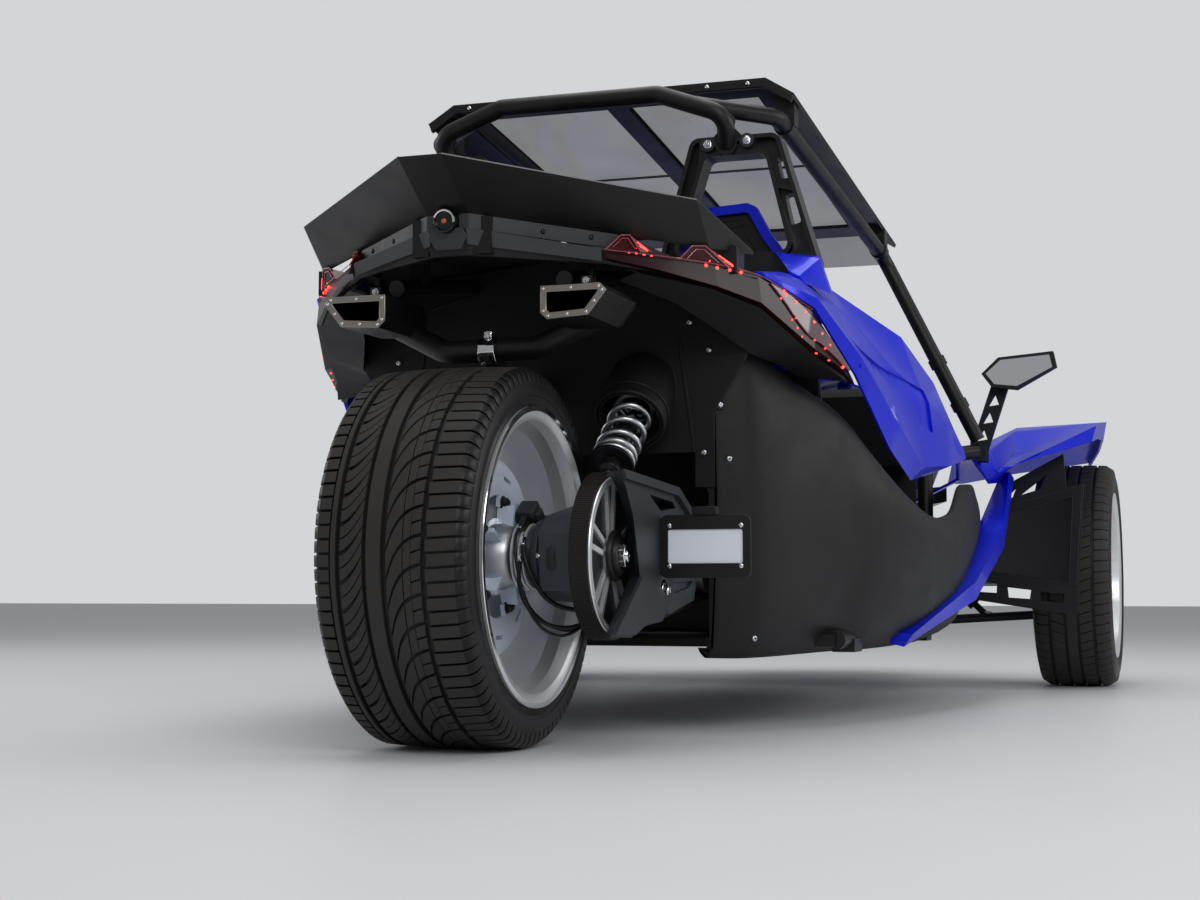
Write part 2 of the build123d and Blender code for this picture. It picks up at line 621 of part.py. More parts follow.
TUB_BACK = POST_X + 40.0
TUB_FRONT = COWL_X - 30.0
TUB_Y = 520.0
TUB_BACK_Y = 500.0
TUB_WIDE_X = 1000.0        # from here on the tub has its full width
TUB_FLOOR = LOWER_RAIL_Z + TUBE_R + SEAT_GAP
TUB_TOP = 470.0
TUB_BACK_TOP = 880.0
TUNNEL_Y = 95.0
TUNNEL_TOP = 400.0


def tub_half(x):
    """Half width of the tub at x."""
    share = min(1.0, max(0.0, (x - TUB_BACK) / (TUB_WIDE_X - TUB_BACK)))
    return TUB_BACK_Y + (TUB_Y - TUB_BACK_Y) * share


def floor_tub():
    wall = TUB_WALL
    rows = []
    for x in (TUB_BACK, TUB_WIDE_X, TUB_FRONT):
        half = tub_half(x)
        rows.append((x, [(-half, TUB_TOP), (-half, TUB_FLOOR), (-TUNNEL_Y, TUB_FLOOR), (-TUNNEL_Y, TUNNEL_TOP),
                         (TUNNEL_Y, TUNNEL_TOP), (TUNNEL_Y, TUB_FLOOR), (half, TUB_FLOOR), (half, TUB_TOP)]))
    trough = skin(rows, -wall)
    tunnel = slab_x([(-TUNNEL_Y, TUB_FLOOR - 1), (-TUNNEL_Y, TUNNEL_TOP), (TUNNEL_Y, TUNNEL_TOP),
                     (TUNNEL_Y, TUB_FLOOR - 1)], TUB_BACK - 1, TUB_FRONT + 1)
    back = block(TUB_BACK, TUB_BACK + wall, 1 - TUB_BACK_Y, TUB_BACK_Y - 1, TUB_FLOOR, TUB_BACK_TOP)
    front = block(TUB_FRONT - wall, TUB_FRONT, 1 - TUB_Y, TUB_Y - 1, TUB_FLOOR, COWL_Z - 30)
    return trough + (back - tunnel) + (front - tunnel)


SEAT_Y = 300.0
SEAT_HALF = 160.0
BOLSTER = 22.0             # how far the side bolsters stand out


def seat():
    y0, y1 = SEAT_Y - SEAT_HALF, SEAT_Y + SEAT_HALF
    low = TUB_FLOOR + TUB_WALL + SEAT_GAP
    shell = slab_y([(800, low), (1290, low), (1330, 330), (1310, 370), (930, 330), (900, 420), (850, 800),
                    (835, 925), (772, 935), (775, 500)], y0, y1)
    head = slab_x([(SEAT_Y - 120, 900), (SEAT_Y - 96, 1020), (SEAT_Y - 62, 1092), (SEAT_Y + 62, 1092),
                   (SEAT_Y + 96, 1020), (SEAT_Y + 120, 900)], 768, 822)
    low_side = slab_y([(900, 340), (1280, 362), (1250, 425), (960, 430), (900, 400)], y0 - BOLSTER, y0 + 38)
    back_side = slab_y([(905, 400), (940, 470), (905, 620), (860, 760), (857, 700)], y0 - BOLSTER, y0 + 38)
    pieces = [shell, head]
    for piece in (low_side, back_side):
        other = mirror(piece, about=Plane(origin=(0, SEAT_Y, 0), z_dir=(0, 1, 0)))
        pieces += [piece, other]
    return fuse(*pieces)


# Each row of a pod: x, then (y, z) of the outer line from the floor's edge up to the sill
BULKHEAD_X = 440.0
BULKHEAD_HALF = 352.0
POD_ROWS = [
    (BULKHEAD_X + PANEL + SEAT_GAP, [(320, 165), (346, 170), (356, 420), (352, 700), (350, 815)]),
    (475, [(352, 163), (408, 170), (420, 424), (412, 700), (394, 806)]),
    (530, [(372, 161), (446, 172), (464, 427), (452, 690), (424, 765)]),
    (620, [(395, 158), (482, 176), (512, 430), (498, 672), (462, 722)]),
    (TUB_BACK, [(430, 155), (525, 182), (570, 436), (556, 620), (540, 660)]),
    (850, [(468, 152), (578, 190), (628, 440), (612, 540), (596, 572)]),
    (TUB_WIDE_X, [(500, 150), (620, 202), (668, 410), (656, 474), (640, 494)]),
    (1200, [(515, 149), (648, 210), (694, 380), (684, 436), (668, 454)]),
    (COWL_X - 400, [(530, 150), (668, 215), (705, 385), (698, 456), (684, 476)]),
    (COWL_X - 60, [(530, 156), (620, 220), (690, 430), (676, 544), (662, 562)]),
    (COWL_X + 230, [(470, 190), (560, 260), (645, 460), (642, 546), (634, 562)]),
]
POD_LEDGE = ((600, 440, 180), (835, 486, 178))   # a rail along the foot of the pod


def side_pod():
    rows = []
    for x, line in POD_ROWS:
        if x >= TUB_BACK:
            y_in = min(tub_half(x) + SEAT_GAP, line[-1][0] - 30)
        else:
            y_in = line[-1][0] - 25
        rows.append((x, [(y_in, line[-1][1])] + line[::-1]))
    ledge = bar(*POD_LEDGE, 44, 40)
    x, line = POD_ROWS[0]
    inner = GUARD_Y[0] - 8
    end = slab_x(line + [(line[-1][0] - 25, line[-1][1]), (line[-1][0] - 25, 500), (-inner, 480), (-inner, 175)],
                 x, x + PANEL)
    return largest(saddled(fuse(skin(rows, PANEL), ledge, end)))


WELL_X = 376.0             # where the shock's well ring stands on the shock's line
WELL_R = 72.0


def shock_axis():
    low = Vector(SHOCK_LOW[0], SHOCK_Y, SHOCK_LOW[1])
    return low, (Vector(SHOCK_TOP[0], SHOCK_Y, SHOCK_TOP[1]) - low).normalized()


def rear_bulkhead():
    half = BULKHEAD_HALF
    right = [(-half, 490), (-half, 640), (-418, 748), (-436, 800), (-430, 885), (-250, 940)]
    left = [(245, 560), (245, 165)] + [(half, 165)] + [(-y, z) for y, z in right[1:]]
    outline = right + [(0, 962)] + left[::-1][:-2] + [(245, 165), (245, 560), (-312, 560), (-312, 490)]
    panel = slab_x(outline, BULKHEAD_X, BULKHEAD_X + PANEL)
    low, along = shock_axis()
    middle = low + along * ((WELL_X - low.X) / along.X)
    well = rod(tuple(middle - along * 20), tuple(middle + along * 110), WELL_R)
    bore = rod(tuple(middle - along * 25), tuple(middle + along * 310), WELL_R - 12)
    return largest(saddled((panel + well) - bore))


# Tail

# Each row: y, then rear edge's x, its top and bottom, and the deck's height at the front
TAIL_ROWS = [
    (0.0, -91.0, 934.0, 888.0, 992.0),
    (36.0, -88.0, 934.0, 888.0, 992.0),
    (250.0, 40.0, 905.0, 882.0, 978.0),
    (470.0, 322.0, 886.0, 868.0, 935.0),
]
DECK_FRONT = 640.0
# Black skirt under a lamp. Each row: x, its y under the deck, then (y, z) out under the lamp and in to
# the pod
SKIRT_ROWS = [
    (120, 250, [(300, 870), (262, 858)]),
    (240, 345, [(404, 854), (330, 832)]),
    (340, 405, [(474, 828), (372, 800)]),
    (446, 440, [(512, 785), (426, 754)]),
    (560, 452, [(546, 744), (456, 744)]),
    (636, 466, [(582, 713), (482, 726)]),
]


def deck_z(x, y):
    """Height of the tail's deck."""
    rows = TAIL_ROWS
    i = max(j for j in range(len(rows) - 1) if rows[j][0] <= y)
    share = (y - rows[i][0]) / (rows[i + 1][0] - rows[i][0])
    _, edge_x, top, _, front = [a + (b - a) * share for a, b in zip(rows[i], rows[i + 1])]
    return top + (front - top) * (x - edge_x) / (DECK_FRONT - edge_x)


def tail_shell(pod_piece):
    rows = []
    for y, x, top, low, front in TAIL_ROWS:
        slope = (front - top) / (DECK_FRONT - x)
        inner_x = x + 26
        rows.append((y, [(x, top), (DECK_FRONT, front), (DECK_FRONT, front - 9),
                         (inner_x, top + slope * 26 - 9), (inner_x, low), (x + 14, low)]))
    left = loft_y(rows)
    under = loft_y([(y, [(x, top), (DECK_FRONT, front), (DECK_FRONT, 700), (x, 700)])
                    for y, x, top, low, front in TAIL_ROWS])
    (x0, y0, z0), (x1, y1, z1) = tail_line()
    for x in (170.0, 560.0):
        z = z0 + (z1 - z0) * (x - x0) / (x1 - x0)
        left += block(x - 18, x + 18, TAIL_TUBE_Y - 14, TAIL_TUBE_Y + 14, z, 1100) & under
    left += skin([(x, [(y, deck_z(x, y) - 4)] + line) for x, y, line in SKIRT_ROWS], PANEL)
    left = largest(saddled(left) - pod_piece)
    return left + mirrored(left)


# Each row of the blade: top (x, y, z) and bottom (x, y, z) of its rear face
SPOILER_ROWS = [
    ((-217, 0, 1042), (-87, 0, 961)),
    ((-217, 69, 1042), (-87, 41, 961)),
    ((128, 405, 1004), (220, 405, 930)),
    ((336, 459, 938), (330, 457, 934)),
]
SPOILER_WALL = 5.0
STRIP_HEIGHT = 27.0
STRIP_END_Y = 262.0


def tail_spoiler(shell):
    (x0, y0, z0), (x1, y1, z1) = SPOILER_ROWS[1]
    (x2, y2, z2), (x3, y3, z3) = SPOILER_ROWS[2]
    middle = slab_y([(x0, z0), (x0 + 6, z0 + 2), (x1 + 7, z1), (x1, z1)], -y1, y1)
    t = SPOILER_WALL
    rows = [
        (y1, [(x0 + 0, z0), (x0 + t, z0 + 3), (x1 + t + 2, z1), (x1, z1)]),
        (y2, [(x2, z2), (x2 + t, z2 + 3), (x3 + t + 2, z3), (x3, z3)]),
        (459, [(330, 940), (330 + t, 942), (338 + t, 936), (334, 934)]),
    ]
    wing = loft_y(rows)
    # A strip hangs below the blade, from its middle out to the lamps
    low_rows = []
    for y in (y1, STRIP_END_Y):
        share = (y - y1) / (y2 - y1)
        x, z = x1 + (x3 - x1) * share, z1 + (z3 - z1) * share
        low_rows.append((y, [(x, z + 3), (x + t, z + 3), (x + t, z - STRIP_HEIGHT), (x, z - STRIP_HEIGHT)]))
    strip = loft_y(low_rows)
    blade = fuse(middle, wing, mirrored(wing), strip, mirrored(strip))
    for x, y in ((-62, 60), (282, 428)):
        foot = block(x - 12, x + 46, y - 16, y + 16, 890, z1 - 3 if x < 0 else 940)
        blade = blade + foot + mirrored(foot)
    return largest(blade - shell)


# Each row of a lamp: x, outer y, top, bottom and depth inwards
LAMP_ROWS = [
    (40, 262, 903, 888, 10),
    (136, 334, 903, 878, 40),
    (240, 414, 905, 860, 60),
    (329, 478, 894, 838, 70),
    (500, 545, 846, 766, 66),
    (600, 573, 783, 742, 50),
    (673, 590, 727, 712, 12),
]
# The two raised points of a lamp, as triangles, and the way they run inwards
LAMP_PEAKS = [
    [(70, 268, 898), (136, 278, 940), (215, 372, 898)],
    [(190, 350, 898), (242, 390, 928), (310, 440, 893)],
]
PEAK_RUN = (45, -35, -8)


def tail_lamp():
    rows = []
    for x, y, top, low, depth in LAMP_ROWS:
        rows.append((x, [(y - 6, top), (y, low), (y - depth, low), (y - depth, top)]))
    return fuse(loft_x(rows), *[slab(corners, PEAK_RUN) for corners in LAMP_PEAKS])


def exhaust_tips():
    # y, z of the tip's rear outline, then the same shrunk for its front
    rear = [(154, 834), (268, 834), (280, 821), (245, 777), (167, 772), (154, 785)]
    wall = 3.0
    cy, cz = 212.0, 806.0
    front = [(cy + (y - cy) * 0.8, cz + (z - cz) * 0.8) for y, z in rear]
    hollow_back = [(cy + (y - cy) * 0.92, cz + (z - cz) * 0.88) for y, z in rear]
    hollow_front = [(cy + (y - cy) * 0.70, cz + (z - cz) * 0.70) for y, z in rear]
    box = loft_x([(-20, rear), (150, rear), (190, front)])
    hollow = loft_x([(-21, hollow_back), (150, hollow_front)])
    tip = box - hollow
    hanger = block(70, 90, 210, 222, 830, 880)
    left = tip + hanger
    pipe = bent_tube([(150, -205, 795), (130, -90, 742), (117, 90, 738), (150, 205, 795)], 22, 60)
    feed = bent_tube([(122, 10, 740), (260, 30, 700), (BULKHEAD_X - SEAT_GAP, 30, 700)], 22, 60)
    return left + mirrored(left) + pipe + feed


# Blue panels. Each row: x, then (y, z) from the upper edge over the flank and the crease to the lower edge
QUARTER_ROWS = [
    (POST_X - 360, [(462, 902), (470, 901), (478, 899), (484, 893)]),
    (POST_X - 200, [(474, 926), (517, 907), (551, 868), (546, 848)]),
    (POST_X - 27, [(487, 942), (557, 866), (602, 772), (594, 730)]),
    (POST_X + 168, [(502, 944), (600, 806), (648, 642), (628, 590)]),
    (POST_X + 360, [(622, 858), (674, 716), (668, 562), (640, 532)]),
    (POST_X + 530, [(668, 770), (703, 676), (706, 574), (660, 556)]),
    (POST_X + 700, [(704, 640), (713, 622), (718, 602), (700, 592)]),
]
# The arrow-shaped vent in the flank, as (x, z) corners, and how far its floor lies inwards
VENT = [(650, 806), (860, 770), (1080, 736), (1120, 642), (1040, 655), (1030, 690), (850, 745)]
VENT_DEPTH = 12.0
# Cover round the hoop's foot. Each row: x, then (y, z) round its section
COVER_ROWS = [
    (POST_X - 140, [(478, 938), (500, 926), (516, 908), (480, 928)]),
    (POST_X - 60, [(433, 991), (526, 974), (548, 900), (470, 942)]),
    (POST_X - HOOP_HALF - SEAT_GAP, [(416, 1000), (520, 984), (548, 900), (470, 946)]),
]
# The arch behind a seat: (y, z) of its outer line, and its depth along X
ARCH = [(170, 866), (182, 980), (222, 1070), (262, 1118), (346, 1123), (364, 1114), (395, 1056), (452, 975),
        (502, 928), (508, 866)]
ARCH_RIM = 20.0
ARCH_X = (POST_X + 41.0, POST_X + 66.0)
ARCH_WEB = 9.0


def seat_arch():
    x0, x1 = ARCH_X
    arch = slab_x(ARCH, x0, x1)
    hollow = slab_x(offset_ring(ARCH, ARCH_RIM), x0 - 1, x1 - ARCH_WEB)
    hollow = hollow - block(x0 - 2, x1, 0, 600, 800, TUB_BACK_TOP + 34)
    wall = block(TUB_BACK - 1, TUB_BACK + TUB_WALL + SEAT_GAP, 0, 600, 800, TUB_BACK_TOP + SEAT_GAP)
    return arch - hollow - wall


def quarter_panel():
    panel = skin(QUARTER_ROWS, PANEL)
    strut = bar((POST_X, POST_Y + 5, 760), (POST_X, 604, 750), 40, 8)
    deep = [(x, offset_line(line, PANEL - 0.5)) for x, line in QUARTER_ROWS]
    floor_skin = skin(deep, VENT_DEPTH - PANEL) & slab_y(offset_ring(VENT, -14), 400, 800)
    panel = panel - slab_y(VENT, 400, 800)
    cover = loft_x(COVER_ROWS)
    return largest(saddled(fuse(panel, floor_skin, strut, cover, seat_arch())))


FENDER_ROWS = [
    (-667, [(712, 610), (716, 604), (708, 592), (695, 585), (640, 672)]),
    (-640, [(714, 610), (720, 606), (708, 590), (693, 582), (628, 678)]),
    # x from the front axle, then (y, z) from the outer skirt over the top to the body
    (-417, [(952, 700), (965, 745), (734, 667), (705, 600), (612, 684)]),
    (-250, [(955, 720), (966, 768), (720, 748), (640, 690), (560, 712)]),
    (0, [(956, 735), (966, 790), (700, 780), (560, 715), (500, 722)]),
    (230, [(930, 720), (940, 762), (680, 742), (520, 690), (470, 696)]),
    (400, [(880, 668), (890, 700), (640, 668), (480, 640), (430, 640)]),
]
# Each row of the blade: x, then its (y, z) corners
BLADE_ROWS = [
    (COWL_X - 850, [(600, 192), (642, 186), (622, 158), (590, 166)]),
    (COWL_X - 430, [(670, 304), (728, 304), (728, 262), (660, 262)]),
    (COWL_X, [(670, 432), (746, 440), (746, 396), (660, 392)]),
    (COWL_X + 330, [(690, 588), (725, 622), (738, 600), (712, 556)]),
]


def front_wing(pod_piece):
    rows = [(FRONT_X + dx, line) for dx, line in FENDER_ROWS]
    fender = skin(rows, -PANEL)
    blade = largest(loft_x(BLADE_ROWS) - pod_piece)
    x = FRONT_X + 60
    strut = bar((x, FRONT_RAIL_Y, UPPER_RAIL_Z), (x, 515, 630), 30, 8) + block(x - 15, x + 15, 507, 515, 625, 713)
    return largest(saddled(fuse(fender, blade, strut)))


# Windows of the rail and of the truss bracket, as (y, z) corners
GUARD_HOLES = [
    [(618, 281), (615, 313), (682, 303), (681, 277)],
    [(713, 264), (710, 293), (777, 285), (773, 260)],
    [(805, 254), (802, 281), (869, 274), (865, 249)],
    [(706, 541), (730, 548), (740, 574)],
    [(752, 554), (806, 570), (824, 610)],
]


def wheel_guard():
    """A flat guard with a sunken field, a truss bracket above it and a rail with three windows below."""
    x0 = FRONT_X - 405
    x1 = x0 + 12
    main = slab_x([(603, 329), (707, 528), (927, 585), (907, 289)], x0, x1)
    field = slab_x([(640, 342), (724, 502), (896, 548), (882, 310)], x0 - 1, x0 + 4)
    truss = slab_x([(700, 520), (690, 572), (872, 669), (880, 572)], x0, x1)
    rail = slab_x([(588, 268), (603, 331), (908, 291), (906, 222), (898, 214), (590, 262)], x0, x1 + 6)
    whole = fuse(main - field, truss, rail)
    for hole in GUARD_HOLES:
        whole = whole - slab_x(hole, x0 - 1, x1 + 8)
    arm = bar((x0 + 6, rail_y(x0 + 6), LOWER_RAIL_Z), (x0 + 6, 620, 300), 12, 34)
    return largest(saddled(whole + arm))


# Each row of the hood: its share of the way from the cowl to the nose, then half of its line
# from the middle outwards
HOOD_BACK = COWL_X + 54.5
HOOD_ROWS = [
    (0.0, [(0, 880), (300, 870), (540, 770), (600, 690)]),
    (0.233, [(0, 852), (290, 842), (500, 745), (540, 690)]),
    (0.493, [(0, 795), (245, 782), (420, 700), (455, 650)]),
    (0.76, [(0, 705), (175, 694), (330, 630), (360, 590)]),
    (1.0, [(0, 600), (70, 594), (170, 560), (190, 530)]),
]


def hood():
    rows = []
    for share, half in HOOD_ROWS:
        left = [(y, z) for y, z in half[::-1]]
        right = [(-y, z) for y, z in half[1:]]
        rows.append((HOOD_BACK + (NOSE_X - HOOD_BACK) * share, left + right))
    panel = skin(rows, -PANEL)
    under = loft_x([(x, line + [(line[-1][0], 300), (line[0][0], 300)]) for x, line in rows])
    for x in (HOOD_BACK + 100, FRONT_LOOP_X - 65):
        stand = block(x - 14, x + 14, rail_y(x) - 14, rail_y(x) + 14, upper_rail_z(x), 1000) & under
        panel = panel + stand + mirrored(stand)
    return saddled(panel)


def nose_grille():
    back, front = NOSE_X - 330, NOSE_X - 40
    ring = loft_x([(back, [(-330, 240), (-330, 560), (330, 560), (330, 240)]),
                   (front, [(-170, 250), (-170, 520), (170, 520), (170, 250)])])
    hollow = loft_x([(back - 1, [(-315, 262), (-315, 540), (315, 540), (315, 262)]),
                     (front + 1, [(-150, 275), (-150, 500), (150, 500), (150, 275)])])
    shell = ring - hollow
    bars = [block(front - 30, front - 12, -160, 160, z, z + 10) for z in (320, 370, 420, 465)]
    posts = [block(front - 30, front - 12, y - 6, y + 6, 262, 515) for y in (-75, 0, 75)]
    tab = block(FRONT_LOOP_X, back + 30, FRONT_RAIL_Y - 10, 322, 320, 350)
    return saddled(fuse(shell, *bars, *posts, tab, mirrored(tab)))


def headlight():
    x0, x1 = FRONT_LOOP_X - 65, NOSE_X - 130
    lens = loft_x([(x0, [(345, 560), (430, 575), (430, 625), (360, 620)]),
                   (x1, [(215, 535), (270, 545), (270, 580), (225, 580)])])
    tab = bar((FRONT_LOOP_X - 40, FRONT_RAIL_Y, UPPER_RAIL_Z), (FRONT_LOOP_X - 40, 375, 585), 24, 8)
    return largest(saddled(lens + tab))


# Roof and hoops

ROOF_BACK = (800.0, 437.0, 373.0, 1373.0, 1413.0)   # x, edge y, crown y, edge z, crown z
ROOF_FRONT = (2010.0, 450.0, 386.0, 1246.0, 1286.0)
VISOR_Z = ROOF_FRONT[4] + 5.5


def roof_section(row, lift, thick):
    x, edge, crown, low, top = row
    line = [(edge, low + lift), (crown, top + lift), (-crown, top + lift), (-edge, low + lift)]
    return x, line


def roof_frame(tubes_grown):
    rows = [roof_section(ROOF_BACK, 0, ROOF_WALL), roof_section(ROOF_FRONT, 0, ROOF_WALL)]
    slab_roof = skin(rows, -ROOF_WALL)
    under = loft_x([(x, line + [(line[-1][0], 900), (line[0][0], 900)]) for x, line in rows])
    for x in (ROOF_BACK[0] + 60, ROOF_FRONT[0] - 150):
        y, z = roof_tube_at(x)
        clamp = block(x - 20, x + 20, y - 25, y + 25, z, 1500) & under
        slab_roof = slab_roof + clamp + mirrored(clamp)
    slab_roof = slab_roof - tubes_grown
    for side in (-1, 1):
        y0, y1 = sorted((side * 24, side * 335))
        slab_roof = slab_roof - block(ROOF_BACK[0] + 90, ROOF_FRONT[0] - 90, y0, y1, 1100, 1600)
    return slab_roof


def roof_panes():
    x0, x1 = ROOF_BACK[0] + 70, ROOF_FRONT[0] - 70
    slope = (ROOF_FRONT[4] - ROOF_BACK[4]) / (ROOF_FRONT[0] - ROOF_BACK[0])

    def top(x):
        return ROOF_BACK[4] + (x - ROOF_BACK[0]) * slope

    panes = []
    for side in (-1, 1):
        y0, y1 = sorted((side * 12, side * 350))
        panes.append(slab_y([(x0, top(x0)), (x1, top(x1)), (x1, top(x1) + PANE), (x0, top(x0) + PANE)], y0, y1)
                     .moved(Location((0, 0, SEAT_GAP))))
    visor = loft_y([(y, [(ROOF_FRONT[0] - 14, z), (2190, z - 68), (2192, z - 64), (ROOF_FRONT[0] - 14, z + 5)])
                    for y, z in ((-386, VISOR_Z), (386, VISOR_Z))])
    return Compound(children=panes + [visor])


ROOF_TUBE_BEND = (1890.0, 430.0, 1200.0)
ROOF_TUBE_START = (790.0, 402.0, 1319.0)
HOOP_TOP = 1256.0
HOOP_FLANGE = 9.0
HOOP_POCKET = 22.0
HOOP_OUTER = [(155, POST_TOP - 10), (240, HOOP_TOP), (432, HOOP_TOP), (524, POST_TOP - 10)]
HOOP_WINDOW = [(205, POST_TOP + 40), (272, HOOP_TOP - 42), (402, HOOP_TOP - 42), (455, POST_TOP + 40)]
# Slots through the outer leg
HOOP_SLOTS = [[(423, 1206), (438, 1206), (451, 1160), (434, 1160)],
              [(440, 1126), (459, 1126), (476, 1064), (455, 1058)]]
# The bracket where the cross tube meets a hoop: bolts and the tube's end
BRACKET_BOLTS = [(323, 1287), (366, 1241), (280, 1238)]
BRACKET_TUBE = (320.0, 1237.0)
BRACKET_R = 24.0
BRACKET_BOLT_R = 16.0
BRACKET_THICK = 10.0
CROSS_TUBE_X = POST_X - 80
CROSS_TUBE_BEND = (330.0, 1290.0)
CROSS_TUBE_TOP = (180.0, 1346.0)


def roof_tube_at(x):
    """The y and z of the roof's side tube at x."""
    share = (x - ROOF_TUBE_START[0]) / (ROOF_TUBE_BEND[0] - ROOF_TUBE_START[0])
    return [a + (b - a) * share for a, b in zip(ROOF_TUBE_START[1:], ROOF_TUBE_BEND[1:])]


def hoop_bracket(extra):
    """The three-eared plate on the end of the cross tube, bolted to the hoop's rear face."""
    x0, x1 = POST_X - HOOP_HALF - BRACKET_THICK - SEAT_GAP, POST_X - HOOP_HALF - SEAT_GAP
    middle = rod((x0, *BRACKET_TUBE), (x1, *BRACKET_TUBE), BRACKET_R + extra)
    ears = [rod((x0, y, z), (x1, y, z), BRACKET_BOLT_R + extra) for y, z in BRACKET_BOLTS]
    plate = slab_x(BRACKET_BOLTS, x0, x1)
    return fuse(plate, middle, *ears)


def roof_tubes(extra=0.0):
    x = CROSS_TUBE_X
    (y1, z1), (y2, z2) = CROSS_TUBE_BEND, CROSS_TUBE_TOP
    start = (x, (y1 + y2) / 2, (z1 + z2) / 2)
    side = bent_tube([start, ROOF_TUBE_START, ROOF_TUBE_BEND, PILLAR_FOOT], PILLAR_R + extra, 55)
    end = (POST_X - HOOP_HALF - BRACKET_THICK / 2 - SEAT_GAP, BRACKET_TUBE[0], BRACKET_TUBE[1])
    half = [end, (x, y1, z1), (x, y2, z2)]
    over = bent_tube(half + [(px, -py, pz) for px, py, pz in half[::-1]], HOOP_TUBE_R + extra, 40)
    over = over & block(0, POST_X - HOOP_HALF - SEAT_GAP, -600, 600, 1000, 1500)
    left = hoop_bracket(extra)
    bend = Vector(*ROOF_TUBE_BEND)
    down = (Vector(*PILLAR_FOOT) - bend).normalized()
    collars = []
    for reach in (120.0, 250.0):
        a, b = Vector(*PILLAR_FOOT) - down * reach, Vector(*PILLAR_FOOT) - down * (reach - 26)
        collars.append(rod(tuple(a), tuple(b), PILLAR_R + 4 + extra))
    side = fuse(side, *collars)
    return fuse(over, side, mirrored(side), left, mirrored(left))


def rounded(outline, radius, x0, x1):
    """A slab across X with rounded corners; outline of (y, z) corners."""
    face = Face(Wire.make_polygon([Vector(x0, y, z) for y, z in outline], close=True))
    face = face.fillet_2d(radius, face.vertices())
    return Solid.extrude(face, Vector(x1 - x0, 0, 0))


def roll_hoop():
    """A cast hoop: a web with a flange round its outside and round its window."""
    x0, x1 = POST_X - HOOP_HALF, POST_X + HOOP_HALF
    outer = rounded(HOOP_OUTER, 24, x0, x1)
    window = rounded(HOOP_WINDOW, 18, x0 - 1, x1 + 1)
    inner = offset_ring(HOOP_OUTER, HOOP_FLANGE)
    border = offset_ring(HOOP_WINDOW, -HOOP_FLANGE)
    pocket = rounded(inner, 15, x0 - 1, x0 + HOOP_POCKET) - rounded(border, 27, x0 - 2, x0 + HOOP_POCKET + 1)
    y, z = BRACKET_TUBE
    seat_block = block(x0 - 2, x0 + HOOP_POCKET + 1, y - 62, y + 62, HOOP_TOP - 50, HOOP_TOP + 5)
    foot = block(x0 - 2, x0 + HOOP_POCKET + 1, 0, 600, POST_TOP - 20, POST_TOP + 34)
    rib = slab_x([(410, 1150), (470, 1135), (466, 1127), (408, 1142)], x0 - 2, x0 + HOOP_POCKET + 1)
    pocket = pocket - seat_block - foot - rib
    whole = outer - window - pocket
    for slot in HOOP_SLOTS:
        whole = whole - rounded(slot, 5, x0 - 1, x1 + 1)
    return largest(saddled(whole))


def mirror_piece(wing_piece):
    """A six-sided head on a flat stalk with three-cornered windows."""
    x0, y0, z0 = FRONT_X - 557, 636, 640
    stalk = slab_x([(y0, z0), (y0 + 4, z0 + 52), (y0 + 62, z0 + 222), (y0 + 104, z0 + 204), (y0 + 46, z0 + 30),
                    (y0 + 42, z0)], x0 - 11, x0 + 11)
    for low in (58, 106, 154):
        dy = (low - 52) * 0.34
        stalk = stalk - slab_x([(y0 + 14 + dy, z0 + low), (y0 + 44 + dy, z0 + low + 4), (y0 + 34 + dy, z0 + low + 34)],
                               x0 - 12, x0 + 12)
    rear = [(674, 880), (720, 924), (868, 936), (877, 893), (770, 834), (701, 843)]
    cy, cz = 775, 886
    front = [(cy + (y - cy) * 0.72, cz + (z - cz) * 0.66) for y, z in rear]
    glass = [(cy + (y - cy) * 0.90, cz + (z - cz) * 0.84) for y, z in rear]
    head = loft_x([(x0 - 60, rear), (x0 - 30, rear), (x0 + 26, front)]) - slab_x(glass, x0 - 61, x0 - 57)
    foot = block(x0 - 36, x0 + 30, y0 + 2, y0 + 44, z0, z0 + 56)
    return largest(fuse(stalk, head, foot) - wing_piece)


def dashboard():
    x1 = COWL_X + 8
    low = COWL_Z - 30 + SEAT_GAP
    outline = [(x1 - 230, 790), (x1 - 180, 815), (x1, 825), (x1, low), (x1 - 160, low)]
    body = slab_y(outline, 8 - TUB_Y, TUB_Y - 8)
    column = rod(steer_point(70), steer_point(330), COLUMN_R)
    whole = saddled(body + column)
    return whole - rod(steer_point(60), steer_point(180), 12 + RUN_GAP)


def drivetrain():
    engine = block(COWL_X + 90, COWL_X + 560, -190, 190, 230, 700)
    shaft = rod((POST_X - 40, 0, 300), (COWL_X + 100, 0, 300), 35)
    housing = block(SPROCKET_X - 35, POST_X - 25, -PIVOT_HALF + 4, 40, PIVOT_Z - 60, PIVOT_Z + 45)
    stub = ring_y(16, PULLEY_Y - BELT_WIDTH / 2, -PIVOT_HALF + 10, SPROCKET_X, PIVOT_Z)
    wheel = ring_y(SPROCKET_R, PULLEY_Y - BELT_WIDTH / 2, PULLEY_Y + BELT_WIDTH / 2, SPROCKET_X, PIVOT_Z)
    feet = []
    for x in (COWL_X + 170, COWL_X + 480):
        foot = block(x - 25, x + 25, 150, rail_y(x), LOWER_RAIL_Z, 240)
        feet += [foot, mirrored(foot)]
    return largest(saddled(fuse(engine, shaft, housing, stub, wheel, *feet)))


def write(name, shape):
    placed = shape.moved(Location((-MIDDLE_X, 0, 0)))
    export_step(placed, "parts/" + name + ".step")


os.makedirs("parts", exist_ok=True)

